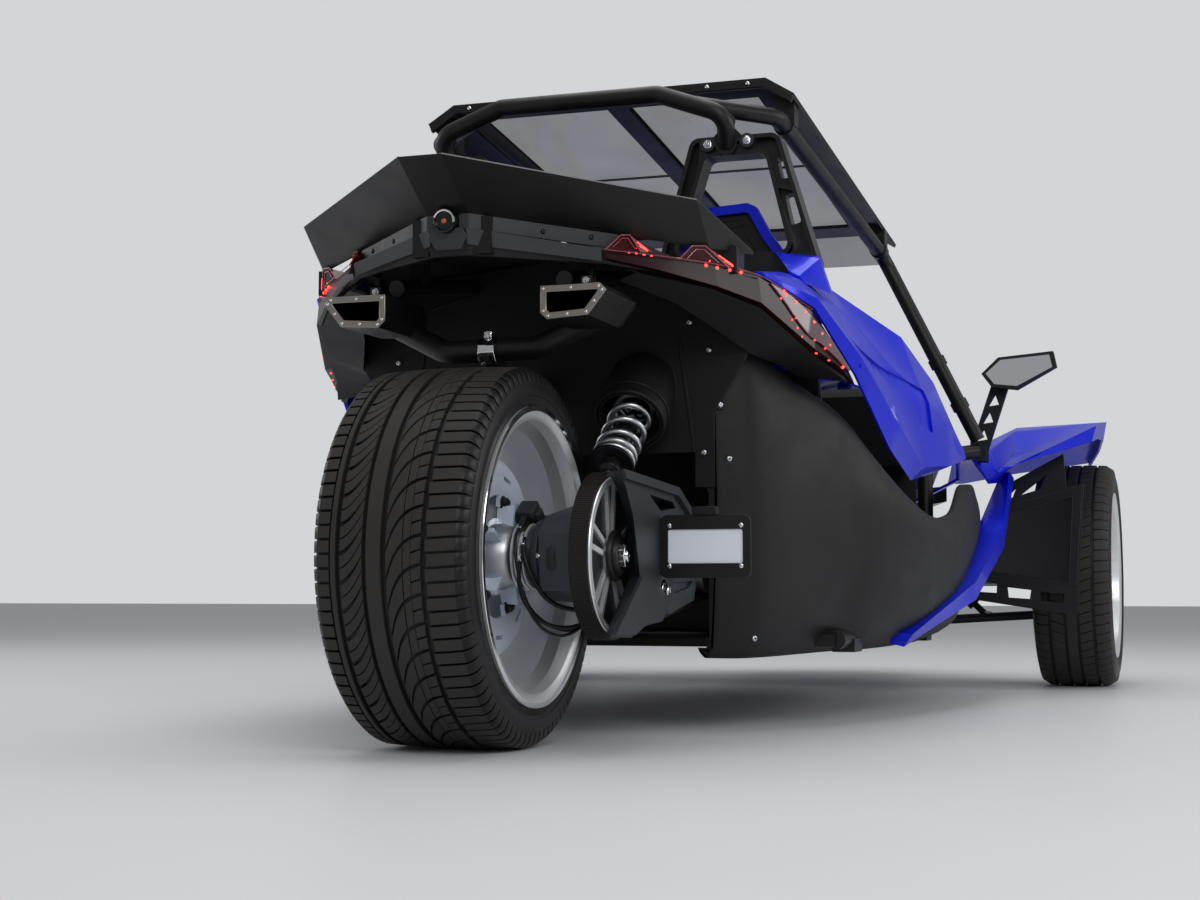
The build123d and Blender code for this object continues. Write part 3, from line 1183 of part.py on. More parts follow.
write("space_frame", space_frame())
write("floor_tub", floor_tub())
pod = side_pod()
write("side_pod_left", pod)
write("side_pod_right", mirrored(pod))
tail = tail_shell(pod)
write("rear_bulkhead", largest(rear_bulkhead() - tail))
quarter = quarter_panel()
write("tail_shell", tail)
spoiler = tail_spoiler(tail)
write("tail_spoiler", spoiler)
write("tail_lamps", both(largest(tail_lamp() - tail - quarter - spoiler)))
write("exhaust_tips", exhaust_tips())
write("quarter_panel_left", quarter)
write("quarter_panel_right", mirrored(quarter))
wing = front_wing(pod)
write("front_wing_left", wing)
write("front_wing_right", mirrored(wing))
write("wheel_guards", both(wheel_guard()))
bonnet = hood()
write("hood", bonnet)
grille = nose_grille()
write("nose_grille", grille)
write("headlights", both(largest(headlight() - bonnet - grille)))
hoop = roll_hoop()
write("roll_hoop_left", hoop)
write("roll_hoop_right", mirrored(hoop))
write("roof_tubes", roof_tubes())
write("roof_frame", roof_frame(roof_tubes(SEAT_GAP)))
write("roof_panes", roof_panes())
chair = seat()
write("seat_left", chair)
write("seat_right", mirrored(chair))
write("dashboard", dashboard())
write("steering_wheel", steering_wheel())
door_mirror = mirror_piece(wing)
write("mirror_left", door_mirror)
write("mirror_right", mirrored(door_mirror))
write("drivetrain", drivetrain())
arms = front_arms()
write("suspension_left", arms)
write("suspension_right", mirrored(arms))
upright = knuckle()
write("knuckle_left", upright)
write("knuckle_right", mirrored(upright))
front_tyre = tyre(FRONT_TYRE_R, FRONT_TYRE_WIDTH, FRONT_BEAD_R, FRONT_RIM_WIDTH, FRONT_X, FRONT_WHEEL_Y, FRONT_AXLE_Z)
write("front_tyre_left", front_tyre)
write("front_tyre_right", mirrored(front_tyre))
front_wheel = front_rim()
write("front_rim_left", front_wheel)
write("front_rim_right", mirrored(front_wheel))
write("steering_rack", steering_rack())
write("swingarm", swingarm())
write("rear_tyre", tyre(REAR_TYRE_R, REAR_TYRE_WIDTH, REAR_BEAD_R, REAR_RIM_WIDTH, 0, 0, REAR_AXLE_Z))
write("rear_rim", rear_rim())
write("belt_pulley", belt_pulley())
write("drive_belt", drive_belt())
write("belt_guard", belt_guard())
write("rear_shock", rear_shock())
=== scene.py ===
# %% [markdown]
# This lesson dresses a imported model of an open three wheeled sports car: two steered wheels in front,
# one driven wheel behind on a single-sided arm, two seats side by side, cast roll hoops and a tinted
# roof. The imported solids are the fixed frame. Each cell below makes one finish or one group of pieces
# around them. Blender works in metres, with +X towards the nose, +Y to the car's left and the ground at
# Z = 0. The tables below are in millimetres from the rear axle, which is how a body maker would measure
# them.

import json
import math

import bmesh
import bpy
from mathutils import Matrix, Vector


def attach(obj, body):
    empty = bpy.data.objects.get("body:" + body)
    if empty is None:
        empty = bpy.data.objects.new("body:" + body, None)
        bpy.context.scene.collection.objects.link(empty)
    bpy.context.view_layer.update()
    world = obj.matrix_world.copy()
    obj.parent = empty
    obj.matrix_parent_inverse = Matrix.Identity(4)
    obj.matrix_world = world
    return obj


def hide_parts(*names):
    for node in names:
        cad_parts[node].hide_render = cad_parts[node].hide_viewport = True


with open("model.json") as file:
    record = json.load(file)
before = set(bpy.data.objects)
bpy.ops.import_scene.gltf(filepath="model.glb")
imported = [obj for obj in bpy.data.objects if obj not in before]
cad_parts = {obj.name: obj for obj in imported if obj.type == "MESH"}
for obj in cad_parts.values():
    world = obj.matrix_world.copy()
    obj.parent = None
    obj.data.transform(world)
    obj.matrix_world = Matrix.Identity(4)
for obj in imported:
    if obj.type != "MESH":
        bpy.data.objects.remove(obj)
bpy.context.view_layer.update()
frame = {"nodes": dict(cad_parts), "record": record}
CAR = frame["nodes"]
print("solids loaded:", len(CAR))

# %% [markdown]
# Colour charts give colours in sRGB, while a shader works in linear light. One function turns a hex value
# into linear numbers, so that every colour below stays readable. Two more add any node and fill its
# inputs with values or links. They serve materials and Geometry Nodes alike.


# %% Colour and node helpers
def linear(hex_colour, alpha=1.0):
    parts = [int(hex_colour[i : i + 2], 16) / 255 for i in (1, 3, 5)]
    return [c / 12.92 if c <= 0.04045 else ((c + 0.055) / 1.055) ** 2.4 for c in parts] + [alpha]


def feed(tree, node, **inputs):
    """Fills a node's sockets, by name (_ for a space) or by i0, i1, with values or links."""
    for name, value in inputs.items():
        name = name.replace("_", " ")
        socket = node.inputs[int(name[1:])] if name[1:].isdigit() else node.inputs[name]
        if isinstance(value, bpy.types.NodeSocket):
            tree.links.new(value, socket)
        else:
            socket.default_value = value


def add(tree, kind, settings=None, **inputs):
    """Adds one node with its properties and what goes into its sockets."""
    made = tree.nodes.new(kind)
    for name, value in (settings or {}).items():
        setattr(made, name, value)
    feed(tree, made, **inputs)
    return made


def finish_named(name):
    """A fresh material with its tree, shader and object coordinates ready."""
    finish = bpy.data.materials.new(name)
    finish.use_nodes = True
    tree = finish.node_tree
    shader = tree.nodes["Principled BSDF"]
    where = add(tree, "ShaderNodeTexCoord").outputs["Object"]
    return finish, tree, shader, where


def mixed(tree, share, first, second):
    """Two colours mixed by a share, as a socket."""
    mix = add(tree, "ShaderNodeMix", {"data_type": "RGBA"}, Factor=share, A=first, B=second)
    return mix.outputs["Result"]


def dress(node, finish):
    """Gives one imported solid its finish."""
    data = CAR[node].data
    data.materials.clear()
    data.materials.append(finish)


# %% [markdown]
# The painted panels are deep-drawn plastic with a metallic base coat and a thick clear coat.
# Aluminium flakes make the base glitter, so its colour changes from flake to flake, and its roughness
# varies slowly, while the clear coat above stays smooth and mirrors the lights.


# %% Metallic blue paint
def metallic_paint(name, light, dark):
    finish, tree, shader, where = finish_named(name)
    flakes = add(tree, "ShaderNodeTexVoronoi", Vector=where, Scale=900.0)
    cloud = add(tree, "ShaderNodeTexNoise", Vector=where, Scale=6.0, Detail=3.0)
    tone = mixed(tree, flakes.outputs["Color"], linear(dark), linear(light))
    rough = add(tree, "ShaderNodeMapRange", Value=cloud.outputs["Fac"], To_Min=0.3, To_Max=0.4)
    feed(tree, shader, Base_Color=tone, Roughness=rough.outputs["Result"], Metallic=0.25,
         Specular_IOR_Level=0.2, Coat_Weight=0.25, Coat_Roughness=0.06)
    return finish


blue_paint = metallic_paint("metallic_blue_paint", "#0824EE", "#0412B0")

# %% [markdown]
# Most of the car is black: moulded plastic with a fine leather-like grain, powder coat on tubes,
# and castings with a coarser skin. They differ in roughness and in the size of their bumps,
# so one function makes them all from a colour, a grain size in millimetres and a depth.
# Their gloss is lower than that of bare plastic, because a grained skin hides part of its own reflection.


# %% Black plastics, powder coat and castings
def grained(name, colour, grain_mm, depth, rough=(0.5, 0.62), metallic=0.0, gloss=0.32, wear=1.5):
    finish, tree, shader, where = finish_named(name)
    grain = add(tree, "ShaderNodeTexVoronoi", {"feature": "SMOOTH_F1"}, Vector=where,
                Scale=1000.0 / grain_mm)
    patches = add(tree, "ShaderNodeTexNoise", Vector=where, Scale=11.0, Detail=6.0,
                  Roughness=0.6).outputs["Fac"]
    dull = add(tree, "ShaderNodeMapRange", Value=patches, From_Min=0.3, From_Max=0.7,
               To_Min=rough[0], To_Max=rough[1])
    tone = mixed(tree, patches, linear(colour), [c * wear for c in linear(colour)[:3]] + [1.0])
    bump = add(tree, "ShaderNodeBump", Height=grain.outputs["Distance"], Strength=0.3, Distance=depth)
    feed(tree, shader, Base_Color=tone, Roughness=dull.outputs["Result"], Normal=bump.outputs["Normal"],
         Metallic=metallic, Specular_IOR_Level=gloss)
    return finish


moulded_black = grained("moulded_black_plastic", "#0D0D0F", 2.2, 0.0005)
powder_black = grained("powder_coated_black", "#0B0B0D", 1.2, 0.00015, (0.3, 0.42), gloss=0.4)
blade_black = grained("satin_blade_black", "#0A0A0B", 0.9, 0.0001, (0.36, 0.5), gloss=0.35, wear=2.2)
cast_black = grained("charcoal_sand_casting", "#24272C", 2.0, 0.0005, (0.42, 0.55), 0.25, gloss=0.4)
strip_grey = grained("wrinkle_coated_strip", "#2B2C2E", 3.4, 0.0012, (0.42, 0.6), 0.2, gloss=0.4, wear=1.9)
seat_vinyl = grained("seat_vinyl", "#121214", 1.6, 0.0004, (0.42, 0.52))
tyre_rubber = grained("tyre_rubber", "#22201E", 1.1, 0.0001, (0.5, 0.7), gloss=0.35, wear=1.8)
# Dark rubber: painted shade on the tyres' groove floors, and the darker, glossier rubber of their sides
groove_shade_side_rubber = grained("painted_groove_shade_and_side_rubber", "#08080A", 1.1, 0.0001, (0.38, 0.5), gloss=0.3)
belt_rubber = grained("ribbed_belt_rubber", "#14110F", 3.0, 0.0003, (0.5, 0.65), wear=1.8)
hose_rubber = grained("hose_rubber", "#0B0B0C", 0.8, 0.0001, (0.35, 0.5))
web_black = grained("woven_belt_web", "#0C0C0D", 2.4, 0.0004, (0.6, 0.75), gloss=0.2)
plate_paint = grained("plate_enamel", "#DDE3EA", 1.5, 0.0001, (0.3, 0.4), gloss=0.5, wear=1.05)
white_print = grained("white_dial_print", "#E4E6E8", 1.0, 0.00005, (0.4, 0.5), gloss=0.4, wear=1.0)

# %% [markdown]
# Bare metals take their look from how they were worked. A turned wheel keeps fine rings round its axle,
# a brushed plate keeps long scratches along one direction, and a casting is matt with a rough skin.
# Rings come from the distance to the axle: the coordinates are squeezed flat along Y and their length
# is fed to a noise that varies only with that one number.


# %% Silver wheels, brushed steel and alloy castings
def metal(tree, shader, colour, lines, low, high, strength, depth, metallic):
    """The end of every metal: fine lines vary its roughness and its bump."""
    span = add(tree, "ShaderNodeMapRange", Value=lines, To_Min=low, To_Max=high)
    bump = add(tree, "ShaderNodeBump", Height=lines, Strength=strength, Distance=depth)
    feed(tree, shader, Base_Color=linear(colour), Metallic=metallic, Roughness=span.outputs["Result"],
         Normal=bump.outputs["Normal"])


def brushed(name, colour, rough, stretch=(1.0, 1.0, 1.0), scale=180.0, depth=0.0001, spread=0.08):
    finish, tree, shader, where = finish_named(name)
    squeezed = add(tree, "ShaderNodeMapping", Vector=where, Scale=stretch)
    lines = add(tree, "ShaderNodeTexNoise", Vector=squeezed.outputs[0], Scale=scale, Detail=6.0)
    metal(tree, shader, colour, lines.outputs["Fac"], rough - spread, rough + spread, 0.15, depth, 1.0)
    return finish


def turned_metal(name, colour, rough, axle, metallic=0.8):
    """Metal with fine rings round an axle across the car, given as its (x, z) in metres."""
    finish, tree, shader, where = finish_named(name)
    flat = add(tree, "ShaderNodeMapping", Vector=where, Location=(-axle[0], 0, -axle[1]), Scale=(1, 0, 1))
    reach = add(tree, "ShaderNodeVectorMath", {"operation": "LENGTH"}, i0=flat.outputs[0])
    rings = add(tree, "ShaderNodeTexNoise", {"noise_dimensions": "1D"}, W=reach.outputs["Value"],
                Scale=900.0)
    metal(tree, shader, colour, rings.outputs["Fac"], rough - 0.06, rough + 0.08, 0.12, 0.0001, metallic)
    return finish


MIDDLE_X = 1554.5
REAR_AXLE = (-MIDDLE_X / 1000, 0.3455)
FRONT_AXLE = ((2667.0 - MIDDLE_X) / 1000, 0.330)
machined_silver = turned_metal("turned_wheel_alloy", "#E6E7E9", 0.36, REAR_AXLE)
front_silver = turned_metal("turned_front_alloy", "#E6E7E9", 0.36, FRONT_AXLE)
# A bluer silver than the barrel's, with less metal shine: its colour paints the bright bluish light on the
# bell deep in the barrel
bell_highlight_metal = turned_metal("bell_metal_painted_highlight", "#D3DCEC", 0.36, REAR_AXLE, 0.35)
cast_alloy = brushed("cast_alloy", "#B9BCC1", 0.4, scale=90.0, depth=0.0004)
arm_alloy = grained("painted_arm_casting", "#3A3F46", 2.0, 0.0004, (0.4, 0.52), 0.5, gloss=0.5)
brushed_steel = brushed("brushed_stainless", "#A39B93", 0.3, (2.0, 30.0, 2.0))
bright_chrome = brushed("bright_chrome", "#DDDEE0", 0.1, spread=0.03)
spring_steel = brushed("spring_steel", "#C4C7CB", 0.34, scale=60.0, spread=0.05)

# %% [markdown]
# The lamp covers are smoked red acrylic. They look almost black until lit, so the cover is a very dark
# red with a soft shine, under rows of small bright lamps.
# The roof panes are sheets of tinted acrylic: a little light comes through, with a bronze cast.


# %% Lamp covers, lit lamps and tinted panes
def clear_plastic(name, colour, see_through, rough=0.05, gloss=0.5):
    finish, tree, shader, where = finish_named(name)
    ripple = add(tree, "ShaderNodeTexNoise", Vector=where, Scale=4.0, Detail=2.0)
    bump = add(tree, "ShaderNodeBump", Height=ripple.outputs["Fac"], Strength=0.05, Distance=0.001)
    feed(tree, shader, Normal=bump.outputs["Normal"], Base_Color=linear(colour), Roughness=rough,
         Transmission_Weight=see_through, IOR=1.49, Specular_IOR_Level=gloss)
    return finish


def tinted_sheet(name, colour, alpha):
    """A thin tinted sheet seen through without bending the light."""
    finish, tree, shader, where = finish_named(name)
    haze = add(tree, "ShaderNodeTexNoise", Vector=where, Scale=7.0, Detail=4.0)
    cloud = add(tree, "ShaderNodeMapRange", Value=haze.outputs["Fac"], To_Min=alpha - 0.05,
                To_Max=alpha + 0.06)
    feed(tree, shader, Alpha=cloud.outputs["Result"], Base_Color=linear(colour), Roughness=0.12,
         Specular_IOR_Level=0.15)
    return finish


def glowing(name, colour, strength):
    """A small lit lamp, a little brighter in the middle of its grain."""
    finish, tree, shader, where = finish_named(name)
    grain = add(tree, "ShaderNodeTexNoise", Vector=where, Scale=400.0)
    bright = [min(1.0, c * 1.5 + 0.02) for c in linear(colour)[:3]] + [1.0]
    tone = mixed(tree, grain.outputs["Fac"], linear(colour), bright)
    feed(tree, shader, Emission_Color=tone, Base_Color=linear(colour), Emission_Strength=strength)
    return finish


smoked_red = clear_plastic("smoked_red_acrylic", "#200206", 0.0, 0.22, 0.25)
peak_red = clear_plastic("peak_red_acrylic", "#3C0408", 0.1, 0.25, 0.3)
lamp_rim = clear_plastic("pale_lamp_rim", "#A85A66", 0.2)
side_strip = clear_plastic("pale_side_strip", "#8A6F78", 0.45)
lit_red = glowing("lit_red_lamp", "#FF2A20", 6.0)
lamp_clear = clear_plastic("clear_lamp_lens", "#B9C2CC", 0.6)
tinted_pane = tinted_sheet("bronze_tinted_acrylic", "#5A503C", 0.45)
mirror_glass = brushed("silvered_glass", "#E6E9EC", 0.03, scale=3.0, spread=0.01)
gauge_glass = clear_plastic("dark_gauge_glass", "#07090C", 0.1)
amber = clear_plastic("amber_lens", "#B5652A", 0.2)
smoke = clear_plastic("smoked_headlamp_cover", "#1B2026", 0.25, 0.1)
needle_red = glowing("needle_red", "#C8281E", 0.5)

# Each row: a slot, the finish that its solids wear, then others that added pieces in that slot wear.
# A finish that stands in two rows is looked up under the lower one.
WORN = {
    "frame_black": (powder_black,),
    "exhaust_steel": (powder_black, brushed_steel),
    "satin_black": (blade_black, powder_black, strip_grey, gauge_glass, plate_paint, white_print),
    "grained_plastic": (moulded_black,),
    "lamp_red": (smoked_red, peak_red, lamp_rim, lit_red, needle_red),
    "lamp_clear": (lamp_clear, side_strip, mirror_glass, amber),
    "blue_paint": (blue_paint,),
    "tinted_pane": (tinted_pane,),
    "cast_black": (cast_black,),
    "cast_alloy": (cast_alloy,),
    "shock_steel": (bright_chrome, spring_steel),
    "wheel_silver": (machined_silver, bell_highlight_metal),
    "seat_cover": (seat_vinyl, web_black),
    "belt_rubber": (belt_rubber,),
    "tyre_rubber": (tyre_rubber,),
}
SLOT_OF = {finish.name: slot for slot, row in WORN.items() for finish in row}
for part in frame["record"]["subparts"]:
    dress(part["node"], WORN[part["material_slot"]][0])
for side in ("left", "right"):
    dress("front_rim_" + side, front_silver)
dress("swingarm", arm_alloy)

# %% [markdown]
# The studio is a pale floor with large soft lamps, like a photographer's light tent. The camera stands
# low behind the right rear corner, where the picture was taken from.

# %% Floor, lamps and camera
FLOOR_SIZE = 60.0
LENS_MM = 56.55
CAMERA_PLACE = (-4.7405, -1.345, 0.285)
CAMERA_YAW = 18.8
CAMERA_PITCH = 4.25
# Each row: name, place and target in metres, width and height in metres, power in watts
LAMPS = [
    ("overhead", (0.0, 0.0, 5.0), (0, 0, 0), (6.0, 3.5), 150.0),
    ("rear_key", (-5.5, -3.0, 3.2), (-0.5, 0, 0.5), (3.0, 2.0), 105.0),
    ("right_fill", (1.0, -6.0, 2.5), (0.3, 0, 0.5), (5.0, 2.0), 100.0),
    ("left_fill", (-1.0, 6.0, 2.5), (0, 0, 0.5), (5.0, 2.0), 80.0),
]


def placed(name, data):
    """A new object in the scene."""
    made = bpy.data.objects.new(name, data)
    bpy.context.scene.collection.objects.link(made)
    return made


def studio_floor():
    sheet = bpy.data.meshes.new("floor")
    half = FLOOR_SIZE / 2
    corners = [(-half, -half, 0), (half, -half, 0), (half, half, 0), (-half, half, 0)]
    sheet.from_pydata(corners, [], [(0, 1, 2, 3)])
    floor = placed("floor", sheet)
    finish, tree, shader, where = finish_named("pale_studio_floor")
    mottle = add(tree, "ShaderNodeTexNoise", Vector=where, Scale=1.5, Detail=4.0)
    tone = add(tree, "ShaderNodeMapRange", Value=mottle.outputs["Fac"], To_Min=0.4, To_Max=0.5)
    feed(tree, shader, Base_Color=linear("#D6D7D9"), Roughness=tone.outputs["Result"])
    sheet.materials.append(finish)


def soft_lamp(name, place, target, size, power):
    data = bpy.data.lights.new(name, "AREA")
    data.shape = "RECTANGLE"
    data.size, data.size_y = size
    data.energy = power
    lamp = placed(name, data)
    lamp.location = place
    lamp.rotation_euler = (Vector(target) - Vector(place)).to_track_quat("-Z", "Y").to_euler()


def studio_world():
    world = bpy.data.worlds.new("studio")
    world.use_nodes = True
    tree = world.node_tree
    seen = add(tree, "ShaderNodeLightPath")
    level = add(tree, "ShaderNodeMapRange", Value=seen.outputs["Is Camera Ray"], To_Min=0.4, To_Max=0.8)
    feed(tree, tree.nodes["Background"], Color=linear("#E9EBEE"), Strength=level.outputs["Result"])
    bpy.context.scene.world = world


studio_floor()
studio_world()
for row in LAMPS:
    soft_lamp(*row)
camera_data = bpy.data.cameras.new("camera")
camera_data.lens = LENS_MM
camera = placed("camera", camera_data)
camera.location = CAMERA_PLACE
camera.rotation_euler = (math.radians(90 + CAMERA_PITCH), 0, math.radians(CAMERA_YAW - 90))
bpy.context.scene.camera = camera
bpy.context.scene.view_settings.view_transform = "Standard"

# %% [markdown]
# Every added piece starts as a few simple shells: a slab cut from an outline, a loft through rings, a
# turned ring or a tube along a path. A shape is just its points and faces in millimetres. One function
# joins the shapes of a piece into a mesh, turns their faces outwards, rounds the edges and lets the
# piece ride on its body. The tables can then stay short, because all the mesh work is in one place.

# %% Shape helpers
AXES = {"x": lambda a, b, c: (c, a, b), "y": lambda a, b, c: (a, c, b), "z": lambda a, b, c: (a, b, c)}


def at(x, y, z):
    """Millimetres from the rear axle to metres in the shared frame."""
    return Vector(((x - MIDDLE_X) / 1000, y / 1000, z / 1000))


def loft(rings, looped=False):
    """Skins equal rings of points. It is capped at both ends, or closed on itself when looped."""
    count, faces = len(rings[0]), []
    for k in range(len(rings) if looped else len(rings) - 1):
        a, b = k * count, (k + 1) % len(rings) * count
        faces += [(a + i, a + (i + 1) % count, b + (i + 1) % count, b + i) for i in range(count)]
    if not looped:
        faces += [tuple(range(count)), tuple(range(len(rings) * count - count, len(rings) * count))]
    return [p for ring in rings for p in ring], faces


def slab(outline, axis, low, high):
    """A flat plate: an outline across one axis, pushed from low to high."""
    return loft([[AXES[axis](a, b, level) for a, b in outline] for level in (low, high)])


def rim_plate(outer, inner, axis, low, high):
    """A flat frame between two outlines of equal length."""
    place = AXES[axis]
    pairs = ((outer, low), (outer, high), (inner, high), (inner, low))
    return loft([[place(a, b, level) for a, b in line] for line, level in pairs], looped=True)


def box(x0, x1, y0, y1, z0, z1):
    return slab([(x0, y0), (x1, y0), (x1, y1), (x0, y1)], "z", z0, z1)


def round_axle(axle, y, radius, t):
    """The point at an angle round an axle across the car, which is given as its (x, z)."""
    return axle[0] + radius * math.cos(t), y, axle[1] + radius * math.sin(t)


def lathe(profile, axle, steps=96):
    """Turns a closed outline of (y, radius) round an axle at (x, z)."""
    turns = [math.tau * k / steps for k in range(steps)]
    return loft([[round_axle(axle, y, r, t) for y, r in profile] for t in turns], True)


def circle(middle, side, up, radius, count):
    """Points of a circle in the plane of two directions."""
    turns = [math.tau * k / count for k in range(count)]
    return [tuple(middle + (side * math.cos(t) + up * math.sin(t)) * radius) for t in turns]


def tube(path, radius, sides=12, looped=False):
    """A round bar along a path. Its section turns as little as it can."""
    path = [Vector(p) for p in path]
    rings, side = [], None
    for i, point in enumerate(path):
        after = path[(i + 1) % len(path)] if looped else path[min(i + 1, len(path) - 1)]
        before = path[i - 1] if looped or i else path[0]
        ahead = (after - before).normalized()
        side = ahead.orthogonal() if side is None else side - ahead * side.dot(ahead)
        side.normalize()
        rings.append(circle(point, side, ahead.cross(side), radius, sides))
    return loft(rings, looped)


def softened(path, rounds=2):
    """Cuts a path's corners in turn, which rounds them. Its ends stay."""
    for _ in range(rounds):
        cut = [path[0]]
        for a, b in zip(path, path[1:]):
            a, b = Vector(a), Vector(b)
            cut += [tuple(a.lerp(b, 0.25)), tuple(a.lerp(b, 0.75))]
        path = cut + [path[-1]]
    return path


def shrunk(outline, distance):
    """A closed outline moved inwards by a distance, whichever way it runs."""
    area = sum(a[0] * b[1] - b[0] * a[1] for a, b in zip(outline, outline[1:] + outline[:1]))
    lean, moved, count = (1 if area > 0 else -1), [], len(outline)
    for i in range(count):
        a, b, c = Vector(outline[i - 1]), Vector(outline[i]), Vector(outline[(i + 1) % count])
        first, second = (b - a).normalized(), (c - b).normalized()
        normals = [Vector((-d.y, d.x)) * lean for d in (first, second)]
        middle = (normals[0] + normals[1]).normalized()
        moved.append(tuple(b + middle * (distance / max(0.3, middle.dot(normals[0])))))
    return moved


def other_side(shape):
    """The same shape on the other side of the car."""
    return [(x, -y, z) for x, y, z in shape[0]], shape[1]


SIDES = (("left", 1), ("right", -1))


def on_side(shapes, way):
    """Shapes of the left side as they are, or their copies on the right."""
    return shapes if way > 0 else [other_side(s) for s in shapes]


def both_sides(*shapes):
    return [s for shape in shapes for s in (shape, other_side(shape))]


def mesh_from(work, name):
    """Ends the work on a mesh and keeps it under a name."""
    data = bpy.data.meshes.new(name)
    work.to_mesh(data)
    work.free()
    return data


def shell_mesh(name, shapes):
    """One mesh out of closed shells, each with its faces turned outwards."""
    whole = bmesh.new()
    for points, faces in shapes:
        part = bpy.data.meshes.new("part")
        part.from_pydata([at(*p) for p in points], [], faces)
        shell = bmesh.new()
        shell.from_mesh(part)
        bmesh.ops.remove_doubles(shell, verts=shell.verts, dist=2e-6)
        bmesh.ops.recalc_face_normals(shell, faces=shell.faces)
        shell.to_mesh(part)
        shell.free()
        whole.from_mesh(part)
        bpy.data.meshes.remove(part)
    return mesh_from(whole, name)


def fitted(name, data, finish, bevel=0.0, body="base", smooth=35.0, slot=None):
    """Makes a mesh a piece of the car: finish, rounded edges, shading and the body it rides on."""
    data.name = name
    data.materials.clear()
    data.materials.append(finish)
    obj = placed(name, data)
    slot = slot or SLOT_OF[finish.name]
    data.shade_smooth()
    data.set_sharp_from_angle(angle=math.radians(smooth))
    if bevel:
        edge = obj.modifiers.new("rounded_edges", "BEVEL")
        edge.width, edge.segments, edge.limit_method = bevel / 1000, 2, "ANGLE"
    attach(obj, body)
    return obj


def piece(name, shapes, finish, bevel=0.0, **kept):
    """A piece made of shapes. What else is kept for it, such as its body, goes on to the fitting."""
    return fitted(name, shell_mesh(name, shapes), finish, bevel, **kept)


# %% [markdown]
# What repeats is made by Geometry Nodes. The first tree turns one pitch round an axle again and again,
# for tread blocks, slots and bolts in a circle. The second sets a unit, such as a screw, on scattered
# points, turned to each point's own direction. Both end in real faces with their finish, and the result
# is baked to a plain mesh.


# %% Geometry Nodes for what repeats
def node_group(name, sockets):
    tree = bpy.data.node_groups.new(name, "GeometryNodeTree")
    tree.interface.new_socket(name="Geometry", in_out="OUTPUT", socket_type="NodeSocketGeometry")
    for label, kind in sockets:
        tree.interface.new_socket(name=label, in_out="INPUT", socket_type=kind)
    given = tree.nodes.new("NodeGroupInput").outputs
    return tree, given


def finish_group(tree, geometry, given):
    """Ends a tree: real faces, then the finish."""
    real = add(tree, "GeometryNodeRealizeInstances", Geometry=geometry)
    skin = add(tree, "GeometryNodeSetMaterial", Geometry=real.outputs[0], Material=given["Finish"])
    end = tree.nodes.new("NodeGroupOutput")
    tree.links.new(skin.outputs[0], end.inputs["Geometry"])


def round_group():
    """One unit turned round an axle across the car, Count times."""
    sockets = [("Unit", "NodeSocketGeometry"), ("Count", "NodeSocketInt"), ("Axle", "NodeSocketVector"),
               ("Finish", "NodeSocketMaterial")]
    tree, given = node_group("round_an_axle", sockets)
    marks = add(tree, "GeometryNodePoints", Count=given["Count"])
    copies = add(tree, "GeometryNodeInstanceOnPoints", Points=marks.outputs[0], Instance=given["Unit"])
    step = add(tree, "ShaderNodeMath", {"operation": "DIVIDE"}, i0=math.tau, i1=given["Count"])
    number = add(tree, "GeometryNodeInputIndex")
    turn = add(tree, "ShaderNodeMath", {"operation": "MULTIPLY"}, i0=number.outputs[0], i1=step.outputs[0])
    spin = add(tree, "ShaderNodeCombineXYZ", Y=turn.outputs[0])
    turned = add(tree, "GeometryNodeRotateInstances", Instances=copies.outputs[0], Rotation=spin.outputs[0])
    tree.links.new(given["Axle"], turned.inputs["Pivot Point"])
    turned.inputs["Local Space"].default_value = False
    finish_group(tree, turned.outputs[0], given)
    return tree


def scatter_group():
    """One unit on each point, its Z along the point's aim and its size from the point."""
    sockets = [("Points", "NodeSocketGeometry"), ("Unit", "NodeSocketObject"),
               ("Finish", "NodeSocketMaterial")]
    tree, given = node_group("unit_on_points", sockets)
    unit = add(tree, "GeometryNodeObjectInfo", Object=given["Unit"])
    aim = add(tree, "GeometryNodeInputNamedAttribute", {"data_type": "FLOAT_VECTOR"}, Name="aim")
    size = add(tree, "GeometryNodeInputNamedAttribute", {"data_type": "FLOAT"}, Name="size")
    turn = add(tree, "FunctionNodeAlignRotationToVector", {"axis": "Z"}, Vector=aim.outputs[0])
    copies = add(tree, "GeometryNodeInstanceOnPoints", Points=given["Points"],
                 Instance=unit.outputs["Geometry"], Rotation=turn.outputs[0], Scale=size.outputs[0])
    finish_group(tree, copies.outputs[0], given)
    return tree


ROUND, SCATTER = round_group(), scatter_group()


def result_of(obj):
    """The mesh in which an object's modifiers end."""
    return bpy.data.meshes.new_from_object(obj.evaluated_get(bpy.context.evaluated_depsgraph_get()))


def baked(name, data, tree, values, finish, body, slot=None):
    """Runs a tree on a mesh and keeps the result as a plain piece."""
    source = placed(name + "_source", data)
    live = source.modifiers.new("repeat", "NODES")
    live.node_group = tree
    for socket in tree.interface.items_tree:
        if socket.in_out == "INPUT" and socket.name in values:
            live[socket.identifier] = values[socket.name]
    made = result_of(source)
    source.modifiers.remove(live)
    bpy.data.objects.remove(source)
    return fitted(name, made, finish, body=body, slot=slot)


def repeated(name, shapes, count, axle, finish, body):
    """A piece of equal pitches round an axle at (x, z) in millimetres."""
    values = {"Count": count, "Axle": at(axle[0], 0, axle[1]), "Finish": finish}
    return baked(name, shell_mesh(name, shapes), ROUND, values, finish, body)


def unit_object(name, shapes):
    """A unit in its own millimetres round the origin, kept out of the scene."""
    data = shell_mesh(name, shapes)
    data.transform(Matrix.Translation((MIDDLE_X / 1000, 0, 0)))
    data.shade_smooth()
    data.set_sharp_from_angle(angle=math.radians(35))
    return bpy.data.objects.new(name, data)


def paired(places):
    """The places and their copies on the other side of the car."""
    return [spot for (x, y, z), (a, b, c), size in places
            for spot in (((x, y, z), (a, b, c), size), ((x, -y, z), (a, -b, c), size))]


